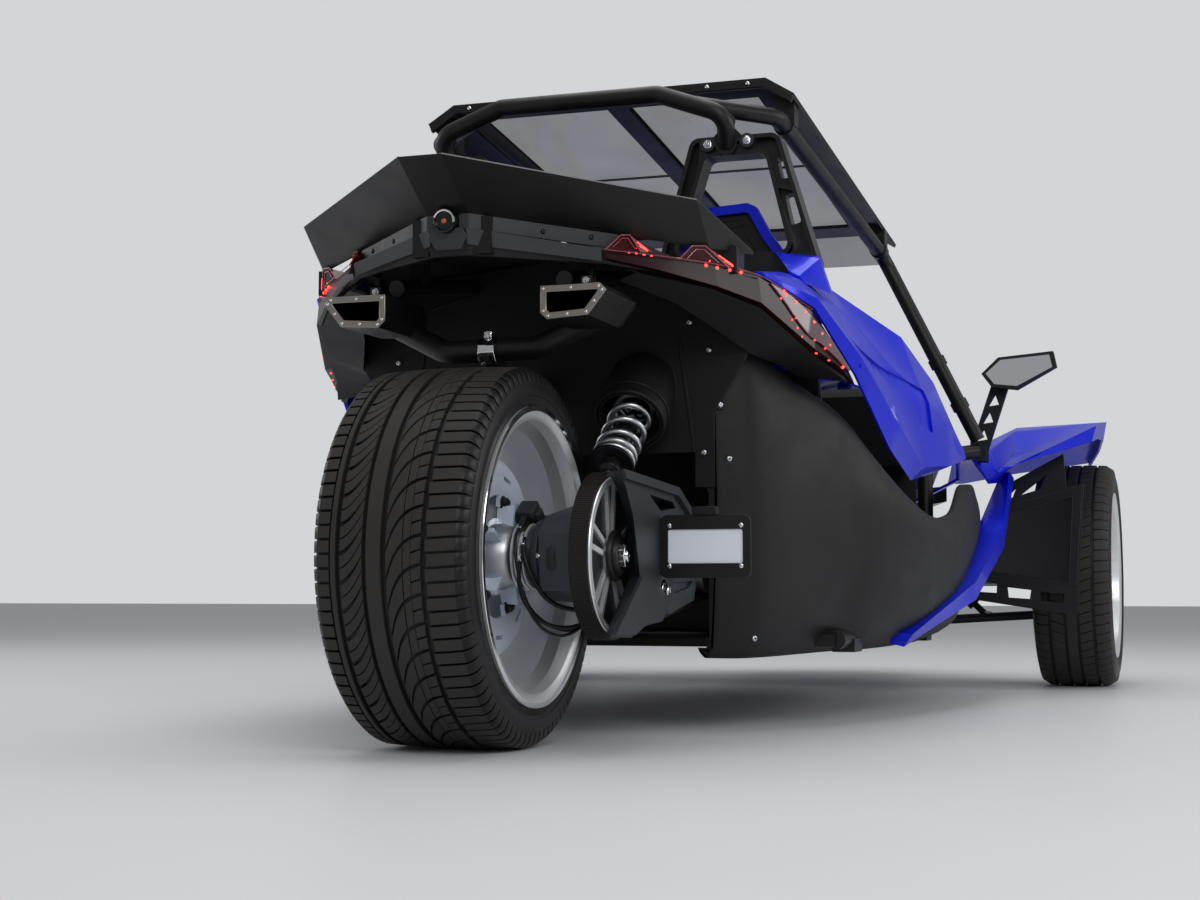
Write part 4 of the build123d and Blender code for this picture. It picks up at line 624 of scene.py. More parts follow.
def scattered(name, unit, places, finish, body="base", slot=None):
    """Units on places, each a point, an aim and a size factor."""
    data = bpy.data.meshes.new(name)
    data.from_pydata([at(*p) for p, _, _ in places], [], [])
    data.attributes.new("aim", "FLOAT_VECTOR", "POINT")
    data.attributes.new("size", "FLOAT", "POINT")
    aims, sizes = data.attributes["aim"].data, data.attributes["size"].data
    for i, (_, aim, size) in enumerate(places):
        aims[i].vector = Vector(aim).normalized()
        sizes[i].value = size
    return baked(name, data, SCATTER, {"Unit": unit, "Finish": finish}, finish, body, slot)


# %% [markdown]
# Two fasteners cover the car: a low button screw with a socket and a hexagon bolt on a washer. Each is
# one small turned or drawn form of a few dozen faces, drawn at a 10 mm head and scaled per place.

# %% Fasteners as units
def ring_points(radius, z, sides, lean=0.0):
    turns = [math.tau * (k + lean) / sides for k in range(sides)]
    return [(radius * math.cos(t), radius * math.sin(t), z) for t in turns]


def button_screw(sides=12):
    """A domed head with a six-sided socket."""
    rows = [(5.0, -1.0), (5.0, 0.6), (4.0, 2.0), (2.4, 2.6), (1.9, 2.6), (1.8, 0.9)]
    return loft([ring_points(r, z, sides) for r, z in rows])


def hex_bolt():
    """A six-sided head on a round washer."""
    washer = loft([ring_points(r, z, 16) for r, z in ((6.2, -1.0), (6.2, 0.9), (5.8, 1.2))])
    head = loft([ring_points(r, z, 6) for r, z in ((5.0, 0.8), (5.0, 4.2), (4.3, 4.9))])
    end = loft([ring_points(r, z, 10) for r, z in ((2.6, 4.0), (2.6, 6.4), (2.2, 6.8))])
    return [washer, head, end]


SCREW = unit_object("button_screw", [button_screw()])
BOLT = unit_object("hex_bolt", hex_bolt())
print("faces of a screw and of a bolt:", len(SCREW.data.polygons), len(BOLT.data.polygons))

# %% [markdown]
# The rear tyre has a road tread: plain ribs between straight grooves, a rib cut by hooked sipes, a broad
# band of sweeping curved blocks and two notched shoulders. The plain ribs and the sides are one turned
# ring, and one pitch of blocks is drawn between curves and repeated 44 times round the axle.
# Carving grooves out of a solid tyre would give the same look, but with many times the faces.

# %% Rear tyre's carcass
REAR_R, REAR_PITCHES, TREAD_DEPTH, TREAD_HALF = 345.5, 44, 7.0, 125.5
REAR_PITCH = math.tau * REAR_R / REAR_PITCHES
SHOULDER = [(125.5, 341.5), (131.0, 337.0), (136.0, 331.0), (139.4, 315.0)]
SIDE_WALL = [(134.0, 326.0), (139.6, 312.0), (142.0, 302.0), (142.5, 297.5), (142.1, 291.0), (141.2, 290.2),
             (141.0, 284.0), (140.6, 283.4), (139.4, 273.2), (138.4, 271.6), (129.0, 262.0)]


def tread_top(v):
    """Radius of the tread's surface, which is a little lower towards the shoulders."""
    v = abs(v)
    if v <= TREAD_HALF:
        return REAR_R - 4.0 * (v / TREAD_HALF) ** 2.5
    for (v0, r0), (v1, r1) in zip(SHOULDER, SHOULDER[1:]):
        if v <= v1:
            return r0 + (r1 - r0) * (v - v0) / (v1 - v0)
    return SHOULDER[-1][1]


def tread_floor(v):
    return tread_top(v) - TREAD_DEPTH


# Each row: a plain rib's two sides, across the tread
PLAIN_RIBS = [(-100.5, -91.7), (-34.0, -8.0)]
line = [(-TREAD_HALF, tread_floor(TREAD_HALF))]
for v0, v1 in PLAIN_RIBS:
    line += [(v0, tread_floor(v0)), (v0, tread_top(v0) - 0.8), (v0 + 0.8, tread_top(v0))]
    line += [((v0 + v1) / 2, tread_top((v0 + v1) / 2)), (v1 - 0.8, tread_top(v1)),
             (v1, tread_top(v1) - 0.8)]
    line += [(v1, tread_floor(v1))]
line += [(v, tread_floor(v)) for v in (34.0, 80.0, TREAD_HALF)]
inside = [(v, r - 9.0) for v, r in ((-120.0, 330.0), (120.0, 330.0))]
profile = [(-v, r) for v, r in SIDE_WALL[::-1]] + line + SIDE_WALL + inside[::-1]
AXLE = (0.0, REAR_R)


def darkened(obj, axle, middle, floor, side):
    """Painted shade in dark rubber on every face down in a groove. Out on a tyre's side the same dark
    finish is the side's darker, glossier rubber.
    """
    obj.data.materials.append(groove_shade_side_rubber)
    for face in obj.data.polygons:
        x, y, z = face.center * 1000
        reach = math.hypot(x + MIDDLE_X - axle[0], z - axle[1])
        if reach < floor or abs(y - middle) > side:
            face.material_index = 1


carcass = piece("rear_tyre_carcass", [lathe([(-v, r) for v, r in profile], AXLE, 4 * REAR_PITCHES)],
                tyre_rubber, body="rear_wheel")
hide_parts("rear_tyre")
# Painted shade on the groove floors, darker side rubber on the sides
darkened(carcass, AXLE, middle=0.0, floor=339.5, side=129.0)
print("carcass faces:", len(carcass.data.polygons), "pitch in mm:", round(REAR_PITCH, 1))

# %% [markdown]
# A block is drawn by its two edges: functions that give how far along the tread it starts and ends at
# each place across. Its top edges are slightly chamfered, so they catch a fine light line as worn
# rubber does.


# %% Rear tyre's tread blocks
CHAMFER = 0.8


def spread(v0, v1, steps):
    """Places across a block, close together at its two ends for the chamfer."""
    inner = [v0 + (v1 - v0) * k / steps for k in range(1, steps)]
    return [v0, v0 + CHAMFER] + inner + [v1 - CHAMFER, v1]


def tread_block(places, low, high, top=tread_top, radius=REAR_R, axle=AXLE, middle=0.0, depth=TREAD_DEPTH):
    """A rubber block across the places, from low(v) to high(v) along the tread."""
    rings = []
    for k, v in enumerate(places):
        a, b, r = low(v), high(v), top(v)
        drop = CHAMFER if k in (0, len(places) - 1) else 0.0
        marks = [(a, r - depth - 1), (a, r - CHAMFER), (a + CHAMFER, r - drop), ((a + b) / 2, r - drop),
                 (b - CHAMFER, r - drop), (b, r - CHAMFER), (b, r - depth - 1)]
        rings.append([(axle[0] - reach * math.cos(u / radius), middle - v,
                       axle[1] + reach * math.sin(u / radius))
                      for u, reach in marks])
    return loft(rings)


HOOK_START, HOOK_SPAN = -83.5, 43.9
SHOULDER_PLACES = [131.0, 136.0, 139.4]


def hook_line(v):
    """The hooked sipes' line: it starts level and sweeps up towards the middle."""
    return 49.0 * max(0.0, min(1.0, (v - HOOK_START) / HOOK_SPAN)) ** 1.7


def hook_gap(v, wide):
    """Half the width of a hooked sipe. A wide one narrows along its sweep."""
    share = (v - HOOK_START) / HOOK_SPAN
    return (3.8 if share < 0.45 else max(0.9, 3.8 - 5.0 * (share - 0.45))) if wide else 1.2


def fan_line(v):
    """The sweeping grooves' line: steep beside the middle groove, nearly level at the shoulder."""
    return 84.0 * (1.0 - math.exp(-(v - 1.5) / 21.0))


def fan_gap(v):
    """Half the width of a sweeping groove, which narrows towards the shoulder."""
    return 4.8 - 2.0 * (v - 1.5) / 64.0


def fan_start(v):
    return fan_line(v) + fan_gap(v)


def fan_end(v):
    return fan_line(v) + REAR_PITCH - fan_gap(v)


def rear_pitch():
    half, blocks = REAR_PITCH / 2, []
    for k in range(2):
        start, edge = k * half, 73.8 + (1.6 if k else -1.2)
        blocks.append(tread_block(spread(-103.9, -124.6, 2) + [-v for v in SHOULDER_PLACES],
                                  lambda v: start + 2.3, lambda v: start + half - 2.3))
        blocks.append(tread_block(spread(edge, 124.6, 3) + SHOULDER_PLACES,
                                  lambda v: start + 2.0 + (v - 72) * 0.05,
                                  lambda v: start + half - 2.0 + (v - 72) * 0.05))
        blocks.append(tread_block(spread(-82.5, -42.0, 7),
                                  lambda v: start + hook_line(v) + hook_gap(v, k == 0),
                                  lambda v: start + half + hook_line(v) - hook_gap(v, k == 1)))
    inner = [2.4, 3.2, 4.6, 6.8, 10.0, 14.0, 19.0, 25.0, 31.0, 31.8]
    outer = spread(47.4, 64.4, 3)
    blocks += [tread_block(places, fan_start, fan_end) for places in (inner, spread(33.4, 46.6, 2))]
    blocks.append(tread_block(outer, fan_start, lambda v: fan_line(v) + half - 1.4))
    blocks.append(tread_block(outer, lambda v: fan_line(v) + half + 1.4, fan_end))
    return blocks


tread = repeated("rear_tread", rear_pitch(), REAR_PITCHES, AXLE, tyre_rubber, "rear_wheel")
# Painted shade on the blocks' walls down in the grooves, darker side rubber on the shoulders
darkened(tread, AXLE, middle=0.0, floor=339.9, side=137.0)
print("tread faces:", len(tread.data.polygons))

# %% [markdown]
# The front tyres are narrower, with four straight grooves and notched shoulders. The same block
# function serves with another radius. Both are built at their wheels, so that each turns with its own.

# %% Front tyres
FRONT_R, FRONT_PITCHES, FRONT_MIDDLE, FRONT_DEPTH = 330.0, 66, 877.5, 6.0
FRONT_POINT = (2667.0, FRONT_R)
FRONT_TURN = math.tau * FRONT_R / FRONT_PITCHES


def front_top(v):
    v = abs(v)
    return FRONT_R - 3.0 * (v / 95.5) ** 2.5 if v <= 95.5 else FRONT_R - 3.0 - (v - 95.5) * 1.2


# Each row: a row of blocks, its two sides across the tread and how far its notches lean
FRONT_BANDS = [(-106.0, -66.0, 0.08), (-57.0, -22.0, 0.35), (22.0, 57.0, 0.35), (66.0, 106.0, 0.08)]
front_line = [(v, front_top(v) - FRONT_DEPTH) for v in (-95.0, -50.0)]
front_line += [(-14.0, 324.0), (-14.0, 329.2), (-13.2, 330.0), (13.2, 330.0), (14.0, 329.2), (14.0, 324.0)]
front_line += [(v, front_top(v) - FRONT_DEPTH) for v in (50.0, 95.0)]
front_side = [(105.0, 306.0), (111.0, 292.0), (112.5, 282.0), (112.0, 274.0), (111.2, 273.2),
              (105.2, 252.0), (102.2, 246.2), (94.0, 238.0)]
front_profile = [(-v, r) for v, r in front_side[::-1]] + front_line + front_side
front_profile += [(88.0, 300.0), (-88.0, 300.0)]


def front_blocks(middle):
    shapes = []
    for v0, v1, lean in FRONT_BANDS:
        shapes.append(tread_block(spread(v0, v1, 2), lambda v: 1.2 + abs(v) * lean,
                                  lambda v: FRONT_TURN - 1.2 + abs(v) * lean,
                                  front_top, FRONT_R, FRONT_POINT, middle, FRONT_DEPTH))
    return shapes


for side, way in SIDES:
    body, middle = "front_wheel_" + side, way * FRONT_MIDDLE
    ring = lathe([(middle + v, r) for v, r in front_profile], FRONT_POINT, 132)
    tyre = piece("front_tyre_carcass_" + side, [ring], tyre_rubber, body=body)
    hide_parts("front_tyre_" + side)
    # Painted shade on the groove floors, darker side rubber on the sides
    darkened(tyre, FRONT_POINT, middle, floor=325.5, side=104.0)
    blocks = repeated("front_tread_" + side, front_blocks(middle), FRONT_PITCHES, FRONT_POINT, tyre_rubber,
                      body)
print("front tread faces:", len(blocks.data.polygons))

# %% [markdown]
# Seen from the right, the deep barrel of the rear wheel shows the drive's parts: a bell-shaped ring with
# curved slots, a ribbed cap that carries it, bolts in a circle and the brake behind. They are all turned
# parts, so each is a lathe ring, and the slots are what is left between small bridges set round the axle.

# %% Rear wheel's bell, cap and bolts
BELL_FACE_Y, BELL_BACK_Y = -66.0, -4.0


def turned_sector(y0, y1, r0, r1, degrees, axle=AXLE, start=0.0, steps=3):
    """A piece of a ring from one angle to another."""
    rings = []
    for k in range(steps + 1):
        t = math.radians(start + degrees * k / steps)
        rings.append([round_axle(axle, y, r, t) for y, r in ((y0, r0), (y1, r0), (y1, r1), (y0, r1))])
    return loft(rings)


bell = [lathe([(BELL_FACE_Y + 1, 112), (BELL_FACE_Y, 114), (BELL_FACE_Y, 143), (BELL_FACE_Y + 9, 143),
               (BELL_FACE_Y + 9, 112)], AXLE),
        lathe([(BELL_FACE_Y, 150), (BELL_FACE_Y, 166), (BELL_FACE_Y + 2, 172),
               (BELL_FACE_Y + 8, 179), (-48, 181),
               (-48, 173), (BELL_FACE_Y + 9, 168), (BELL_FACE_Y + 9, 150)], AXLE),
        lathe([(-20, 181), (BELL_BACK_Y, 183), (BELL_BACK_Y, 156), (BELL_BACK_Y - 5, 156),
               (BELL_BACK_Y - 5, 174), (-20, 173)], AXLE)]
# The bell, its bridges, tabs and wall wear the bluer silver of painted highlight
piece("rear_bell", bell, bell_highlight_metal, 0.8, body="rear_wheel")
bridge = [turned_sector(BELL_FACE_Y + 0.2, BELL_FACE_Y + 8.8, 141, 152, 26)]
repeated("rear_bell_bridges", bridge, 9, AXLE, bell_highlight_metal, "rear_wheel")
tabs = [turned_sector(BELL_FACE_Y + 0.4, BELL_FACE_Y + 8.6, 92, 116, 14),
        turned_sector(-90, -58, 56, 94, 5, start=4.5)]
repeated("rear_bell_tabs", tabs, 5, AXLE, bell_highlight_metal, "rear_wheel")
repeated("rear_bell_wall", [turned_sector(-50, -18, 173.5, 180.6, 5)], 36, AXLE, bell_highlight_metal, "rear_wheel")
boss = [(-106, 27), (-106, 44), (-102, 50), (-94, 55), (-84, 57), (-76, 60), (-40, 60), (-40, 27)]
piece("rear_hub_boss", [lathe(boss, AXLE)], cast_alloy, 1.0, body="rear_wheel")


def round_places(count, radius, y, aim, size, axle=AXLE, start=0.0):
    """Places in a circle round an axle, for bolts."""
    turns = [math.tau * (k + start) / count for k in range(count)]
    return [(round_axle(axle, y, radius, t), aim, size) for t in turns]


scattered("rear_bell_bolts", BOLT, round_places(5, 101, BELL_FACE_Y, (0, -1, 0), 2.0, start=0.097),
          blade_black, "rear_wheel")
scattered("rear_rim_bolts", BOLT, round_places(5, 46, 121, (0, 1, 0), 2.0), bright_chrome, "rear_wheel")
lips = [lathe([(y, 262.5), (y, 271.2), (y + w, 272.2), (y + w + w, 271.2), (y + w + w, 262.5)], AXLE)
        for y, w in ((-146.4, 1.4), (143.6, 1.4))]
piece("rear_rim_lips", lips, bright_chrome, body="rear_wheel")
print("bell between y", BELL_FACE_Y, "and", BELL_BACK_Y)

# %% [markdown]
# A caliper grips the brake disc from the arm, and the carrier tube ends in a bolted flange. The caliper
# is a cast block with a raised outer face. It stands still while the disc turns through it, so it rides
# on the base.

# %% Carrier flange, caliper and hub bracket
ribs = [lathe([(y, 54.5), (y, 58 + k), (y + 1, 59.4 + k), (y + 3.6, 59.4 + k), (y + 4.4, 58 + k),
               (y + 4.4, 54.5)],
              AXLE, 64) for k, y in enumerate((-137.0, -130.0, -123.0, -116.0))]
piece("carrier_ribs", ribs, machined_silver, slot="cast_alloy")
flange = [lathe([(-163, 54.8), (-163, 66), (-157, 67), (-151, 66), (-151, 54.8)], AXLE),
          lathe([(-196, 54.8), (-196, 59), (-188, 60), (-180, 59), (-180, 54.8)], AXLE)]
piece("carrier_flange", flange, cast_black, 1.0, slot="cast_alloy")
scattered("carrier_bolts", BOLT, round_places(6, 60, -163, (0, -1, 0), 0.9), bright_chrome)
cover = [(62, 428), (96, 452), (140, 416), (146, 366), (118, 340), (92, 352), (80, 392)]
caliper = [slab(cover, "y", -106, -72), slab(shrunk(cover, 10), "y", -114, -100)]
piece("rear_caliper", caliper, cast_black, 3.0)
bracket = [slab([(-58, 392), (-30, 418), (70, 412), (96, 380), (60, 372), (40, 392), (-30, 390)], "y",
                -132, -122),
           slab([(44, 398), (70, 412), (92, 424), (100, 392), (70, 378)], "y", -130, -96)]
piece("hub_bracket", bracket, blade_black, 1.5)

# %% [markdown]
# Thin black hoses feed the brake and the hub's sensor. Each leaves a fitting at the hub, hangs in an
# easy bow and runs forward to the arm near the pulley. They are real hoses, so each is one smooth
# spline with a few chosen control points and its diameter, and its length is measured and printed.

# %% Brake hoses
# Each row: name, diameter in mm and the points it follows, in mm
HOSES = [
    ("brake_hose_a", 9.0, [(-52, -134, 372), (-74, -140, 352), (-66, -158, 300), (-20, -176, 258),
                           (60, -205, 246), (120, -222, 262), (140, -226, 292)]),
    ("brake_hose_b", 8.0, [(-56, -132, 344), (-82, -134, 318), (-70, -140, 262), (-16, -160, 222),
                           (60, -190, 214), (112, -216, 240), (132, -224, 280)]),
    ("sensor_lead_a", 6.0, [(-40, -126, 396), (-78, -128, 392), (-96, -136, 330), (-62, -150, 236),
                            (10, -176, 196), (84, -204, 218), (122, -220, 268)]),
    ("sensor_lead_b", 6.0, [(-20, -120, 290), (-24, -126, 262), (8, -150, 226), (62, -180, 206),
                            (104, -206, 226), (126, -218, 256)]),
]


# A knot's radius times the bevel depth is the hose's radius in metres
KNOT_R = 0.005


def hose(name, diameter, points):
    """One smooth round spline through chosen points."""
    line = bpy.data.curves.new(name, "CURVE")
    line.dimensions = "3D"
    spline = line.splines.new("NURBS")
    spline.points.add(len(points) - 1)
    for knot, point in zip(spline.points, points):
        knot.co, knot.radius = (*at(*point), 1.0), KNOT_R
    spline.order_u, spline.use_endpoint_u = 3, True
    line.bevel_depth, line.bevel_resolution, line.use_fill_caps = diameter / 10, 3, True
    line.resolution_u = 8
    line.materials.append(hose_rubber)
    obj = placed(name, line)
    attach(obj, "base")
    return obj


def spline_length(obj):
    """Length in metres of a hose's middle line."""
    depth, obj.data.bevel_depth = obj.data.bevel_depth, 0.0
    bpy.context.view_layer.update()
    flat = result_of(obj)
    obj.data.bevel_depth = depth
    return sum((flat.vertices[e.vertices[0]].co - flat.vertices[e.vertices[1]].co).length
               for e in flat.edges)


for name, diameter, points in HOSES:
    line = hose(name, diameter, points)
    length = spline_length(line)
    print(name, "is", round(length * 1000), "mm long")
ends = []
for name, diameter, points in HOSES:
    for first, second in ((points[0], points[1]), (points[-1], points[-2])):
        a, b = Vector(first), Vector(second)
        way = (b - a).normalized()
        ends.append(tube([a - way * 6, a + way * 6, a + way * 6.2, a + way * 14], diameter * 0.72, 10))
piece("hose_fittings", ends, bright_chrome, 0.5)

# %% [markdown]
# The imported panels have true shapes but knife-sharp edges. A moulding or casting always has a small
# radius, and that radius is what draws the fine light line along each edge. So each large panel gets a
# copy whose flat triangles are joined again, whose edges are rounded by a Bevel modifier and whose
# shallow folds are shaded smooth. The copy takes the solid's place and body.

# %% Rounded copies of the panels and castings
RECORD_SLOT = {part["node"]: part["material_slot"] for part in frame["record"]["subparts"]}


def eased_copy(node, finish, bevel=1.5, smooth=38.0, body="base"):
    """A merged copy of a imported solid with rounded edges, in the solid's own place."""
    data = CAR[node].data.copy()
    work = bmesh.new()
    work.from_mesh(data)
    bmesh.ops.remove_doubles(work, verts=work.verts, dist=2e-5)
    bmesh.ops.dissolve_limit(work, angle_limit=math.radians(1.2), verts=work.verts, edges=work.edges)
    work.to_mesh(data)
    work.free()
    made = fitted(node + "_skin", data, finish, bevel, body=body, smooth=smooth, slot=RECORD_SLOT[node])
    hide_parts(node)
    return made


# Each row: the solid, its finish, the edge radius in mm and the fold angle that stays crisp
PANELS = [
    ("tail_spoiler", blade_black, 1.2, 12), ("tail_shell", moulded_black, 1.5, 16),
    ("rear_bulkhead", moulded_black, 1.2, 38), ("belt_guard", cast_black, 2.0, 20),
    ("swingarm", arm_alloy, 2.5, 38), ("quarter_panel_left", blue_paint, 1.4, 13),
    ("quarter_panel_right", blue_paint, 1.4, 13), ("front_wing_left", blue_paint, 1.5, 18),
    ("front_wing_right", blue_paint, 1.5, 18), ("hood", blue_paint, 1.5, 18),
    ("wheel_guards", moulded_black, 1.2, 38), ("roof_frame", blade_black, 2.0, 38),
    ("roll_hoop_left", powder_black, 1.6, 38), ("roll_hoop_right", powder_black, 1.6, 38),
    ("mirror_left", moulded_black, 1.8, 24), ("mirror_right", moulded_black, 1.8, 24),
    ("exhaust_tips", blade_black, 1.2, 38), ("dashboard", moulded_black, 4.0, 38),
    ("nose_grille", moulded_black, 2.0, 38),
]
for node, finish, bevel, smooth in PANELS:
    eased_copy(node, finish, bevel, smooth)
eased_copy("belt_pulley", machined_silver, 1.4, body="rear_wheel")
eased_copy("rear_rim", machined_silver, 1.2, body="rear_wheel")
for side, _ in SIDES:
    eased_copy("front_rim_" + side, front_silver, 1.5, body="front_wheel_" + side)
print("rounded copies:", len(PANELS) + 4)

# %% [markdown]
# The pods behind the seats are blow-moulded covers with soft, swelling sides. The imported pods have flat
# facets between a few sections, so these pieces run smooth curves through the same sections, both
# along the car and up the side, and get the wall's thickness inwards.

# %% Smooth side pods
# Each row: x, then (y, z) of the outer line from the floor's edge up to the sill
POD_ROWS = [
    (446, [(320, 165), (346, 170), (356, 420), (352, 700), (350, 815)]),
    (475, [(352, 163), (408, 170), (420, 424), (412, 700), (394, 806)]),
    (530, [(372, 161), (446, 172), (464, 427), (452, 690), (424, 765)]),
    (620, [(395, 158), (482, 176), (512, 430), (498, 672), (462, 722)]),
    (740, [(430, 155), (525, 182), (570, 436), (556, 620), (540, 660)]),
    (850, [(468, 152), (578, 190), (628, 440), (612, 540), (596, 572)]),
    (1000, [(500, 150), (620, 202), (668, 410), (656, 474), (640, 494)]),
    (1200, [(515, 149), (648, 210), (694, 380), (684, 436), (668, 454)]),
    (1500, [(530, 150), (668, 215), (705, 385), (698, 456), (684, 476)]),
    (1840, [(530, 156), (620, 220), (690, 430), (676, 544), (662, 562)]),
    (2130, [(470, 190), (560, 260), (645, 460), (642, 546), (634, 562)]),
]


def through(values, steps):
    """A smooth line through values, with steps between each pair."""
    line = []
    for i in range(len(values) - 1):
        a, b = values[max(i - 1, 0)], values[i]
        c, d = values[i + 1], values[min(i + 2, len(values) - 1)]
        for k in range(steps):
            t = k / steps
            line.append(tuple(0.5 * (2 * q + (r - p) * t + (2 * p - 5 * q + 4 * r - s) * t * t
                                     + (3 * q - p - 3 * r + s) * t ** 3) for p, q, r, s in zip(a, b, c, d)))
    return line + [tuple(values[-1])]


def smooth_wall(rows, along, across, wall, top_in=25.0):
    """A closed wall through the rows: smooth both ways, its thickness on the inner side."""
    tracks = list(zip(*[[(x, y, z) for y, z in line] for x, line in rows]))
    tracks = [through(list(track), along) for track in tracks]
    rings = []
    for section in zip(*tracks):
        outer = through(list(section), across)
        x, y, z = outer[-1]
        outer = outer + [(x, y - top_in, z)]
        inner = [(x, y - wall, z + (wall if k == 0 else 0) - (wall if k >= len(outer) - 2 else 0))
                 for k, (x, y, z) in enumerate(outer)]
        rings.append(outer + inner[::-1])
    return loft(rings)


for side, way in SIDES:
    pod = smooth_wall(POD_ROWS, 5, 5, 6.0)
    ledge = loft([[(x, y + dy, 180 + dz) for dy, dz in ((-22, -20), (20, -20), (22, 8), (4, 20), (-22, 20))]
                  for x, y in ((600, 440), (835, 486))])
    end = slab([(320, 165), (338, 175), (338, 480), (325, 500), (325, 815), (350, 815),
                (352, 700), (356, 420), (346, 170)], "x", 446, 452)
    cover = piece("smooth_pod_" + side, on_side([pod, ledge, end], way), moulded_black, smooth=50.0)
    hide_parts("side_pod_" + side)
print("pod faces:", len(cover.data.polygons))

# %% [markdown]
# Under the blade runs a wrinkle-coated strip with button screws, and below a dark gap the lip of the
# tail. In the middle sits a small round camera in a chrome bezel. These are folded sheet and turned
# parts, laid over the solids with a small stand-off so that their edges read.


# %% Strip, lip and camera
def square_to(aim):
    """Three directions square to each other, the first along an aim."""
    ahead = Vector(aim).normalized()
    side = ahead.orthogonal().normalized()
    return ahead, side, ahead.cross(side)


def turned_along(start, aim, rows, steps=32):
    """A round form along any direction: rows of a distance from the start and a radius."""
    ahead, side, up = square_to(aim)
    return loft([circle(Vector(start) + ahead * reach, side, up, radius, steps) for reach, radius in rows])


def band(rows, depth):
    """A strip along rows of a top and a bottom point, depth thick towards the front."""
    return loft([[a, (a[0] + depth, a[1], a[2]), (b[0] + depth, b[1], b[2]), b] for a, b in rows])


# The strip's face runs from (x, y) at its inner end to (x, y) at its outer end
STRIP_X0, STRIP_Y0, STRIP_X1, STRIP_Y1 = -89, 41, 97, 262
strip = band([((STRIP_X0, STRIP_Y0, 962), (STRIP_X0, STRIP_Y0, 934)),
              ((STRIP_X1, STRIP_Y1, 943), (STRIP_X1 + 1, STRIP_Y1, 915))], 3)
corner = band([((-89, 22, 962), (-89, 22, 934)), ((-89, 41, 962), (-89, 41, 934))], 26)
piece("spoiler_strip", both_sides(strip, corner), strip_grey, 0.8)
piece("camera_mount", [box(-84, -58, -41, 41, 926, 964)], strip_grey, 1.5)
lip = band([((-91, 36, 936), (-84, 36, 906)), ((37, 250, 907), (43, 250, 884))], 3)
apex_line = [(-94, -30, 936), (-94, 30, 936), (-91, 38, 920), (-86, 24, 898), (-86, -24, 898),
             (-91, -38, 920)]
apex = loft([apex_line, [(-70, y, z) for _, y, z in apex_line]])
piece("tail_lip", both_sides(lip) + [apex], strip_grey, 0.8)
EYE = (-92, 0, 947)
piece("camera_body", [turned_along(EYE, (-1, 0, 0), [(-20, 20), (8, 22), (14, 21), (15, 18), (12, 16)])],
      gauge_glass, 0.5)
turns = [math.radians(20 + 170 * k / 14) for k in range(15)]
crescent = [(-107.5, 19.5 * math.cos(t), 947 + 19.5 * math.sin(t)) for t in turns]
piece("camera_bezel", [tube(crescent, 2.6, 10)], bright_chrome)
piece("camera_lens", [turned_along(EYE, (-1, 0, 0), [(10, 5), (15, 4.6), (16.5, 3.2), (17, 1)])], amber)

# Each row: y and z of a screw on the right half of the strip, whose x follows the strip
STRIP_SCREWS = [(-70, 944), (-222, 934), (-150, 938)]
places = paired([((STRIP_X0 + (STRIP_X1 - STRIP_X0) * (abs(y) - STRIP_Y0) / (STRIP_Y1 - STRIP_Y0), y, z),
                  (-0.76, -0.64, 0), 1.0) for y, z in STRIP_SCREWS])
scattered("strip_screws", SCREW, places, powder_black)
print("strip screws:", len(places))

# %% [markdown]
# The lamps wrap round the tail's corners. Two red peaks stand up on each, with pale edges and lit bars
# inside, then a row of small lamps runs along the upper edge, and a translucent strip with dots closes
# the side. Every lit dot is one small dome, set on the cover along its normal.

# %% Lamp peaks, strips and lit dots
# Each row: the rear outline of a raised peak on the right side, and the end of its far side
PEAKS = [
    ([(38, -257, 903), (96, -268, 940), (107, -282, 941), (126, -297, 912)], (148, -311, 914)),
    ([(180, -354, 902), (192, -378, 930), (207, -400, 931), (262, -430, 897)], (296, -450, 893)),
]
PEAK_RUN = Vector((34, 26, -6))


def moved(points, by):
    return [tuple(Vector(p) + Vector(by)) for p in points]


def peak_shapes():
    bodies, rims, bars = [], [], []
    for outline, far in PEAKS:
        for line in (outline, [outline[2], far, outline[3]]):
            bodies.append(loft([line, moved(line, PEAK_RUN)]))
        rims.append(tube(moved(outline, (-1.5, -1, 1)), 1.4, 8))
        middle = sum((Vector(p) for p in outline), Vector()) / 4
        inner = [tuple(Vector(p).lerp(middle, 0.38) + Vector((-2, -1.5, 0.5))) for p in outline]
        rims.append(tube(inner, 0.9, 6))
        rims.append(tube([outline[2], tuple(Vector(far) + Vector((-1, -1, 1)))], 1.2, 8))
        start, end = Vector(outline[2]).lerp(Vector(outline[3]), 0.3), Vector(far)
        for share in (0.25, 0.6):
            a = start.lerp(Vector(outline[3]), share) + Vector((2, -4, 3))
            bars.append(tube([tuple(a), tuple(a.lerp(end, 0.7))], 1.0, 8))
    return bodies, rims, bars


bodies, rims, bars = peak_shapes()
piece("lamp_peaks", both_sides(*bodies), peak_red, 0.6)
piece("lamp_peak_rims", both_sides(*rims), lamp_rim)
piece("lamp_bars", both_sides(*bars), lit_red)

# Each row: a point on the upper edge of the side strip and one on its lower edge
SIDE_STRIP = [((370, -490, 884), (363, -488, 880)), ((425, -512, 867), (400, -504, 854)),
              ((470, -530, 846), (438, -520, 820)), ((505, -545, 825), (481, -539, 789)),
              ((570, -563, 796), (530, -556, 778)), ((645, -587, 741), (638, -586, 736))]
glaze = loft([[a, b, (b[0] + 1, b[1] + 3, b[2]), (a[0] + 1, a[1] + 3, a[2])] for a, b in SIDE_STRIP])
piece("lamp_side_strips", both_sides(glaze), side_strip)
edge_line = moved([b for _, b in SIDE_STRIP], (-0.5, -1, 0))
piece("lamp_strip_edges", both_sides(tube(softened(edge_line, 1), 1.1, 6)), lamp_rim)
top_line = [(40, -263, 904), (136, -335, 905), (240, -415, 903), (329, -477, 893), (420, -510, 869),
            (500, -541, 846)]
piece("lamp_edges", both_sides(tube(softened(top_line, 2), 0.9, 6)), lamp_rim)

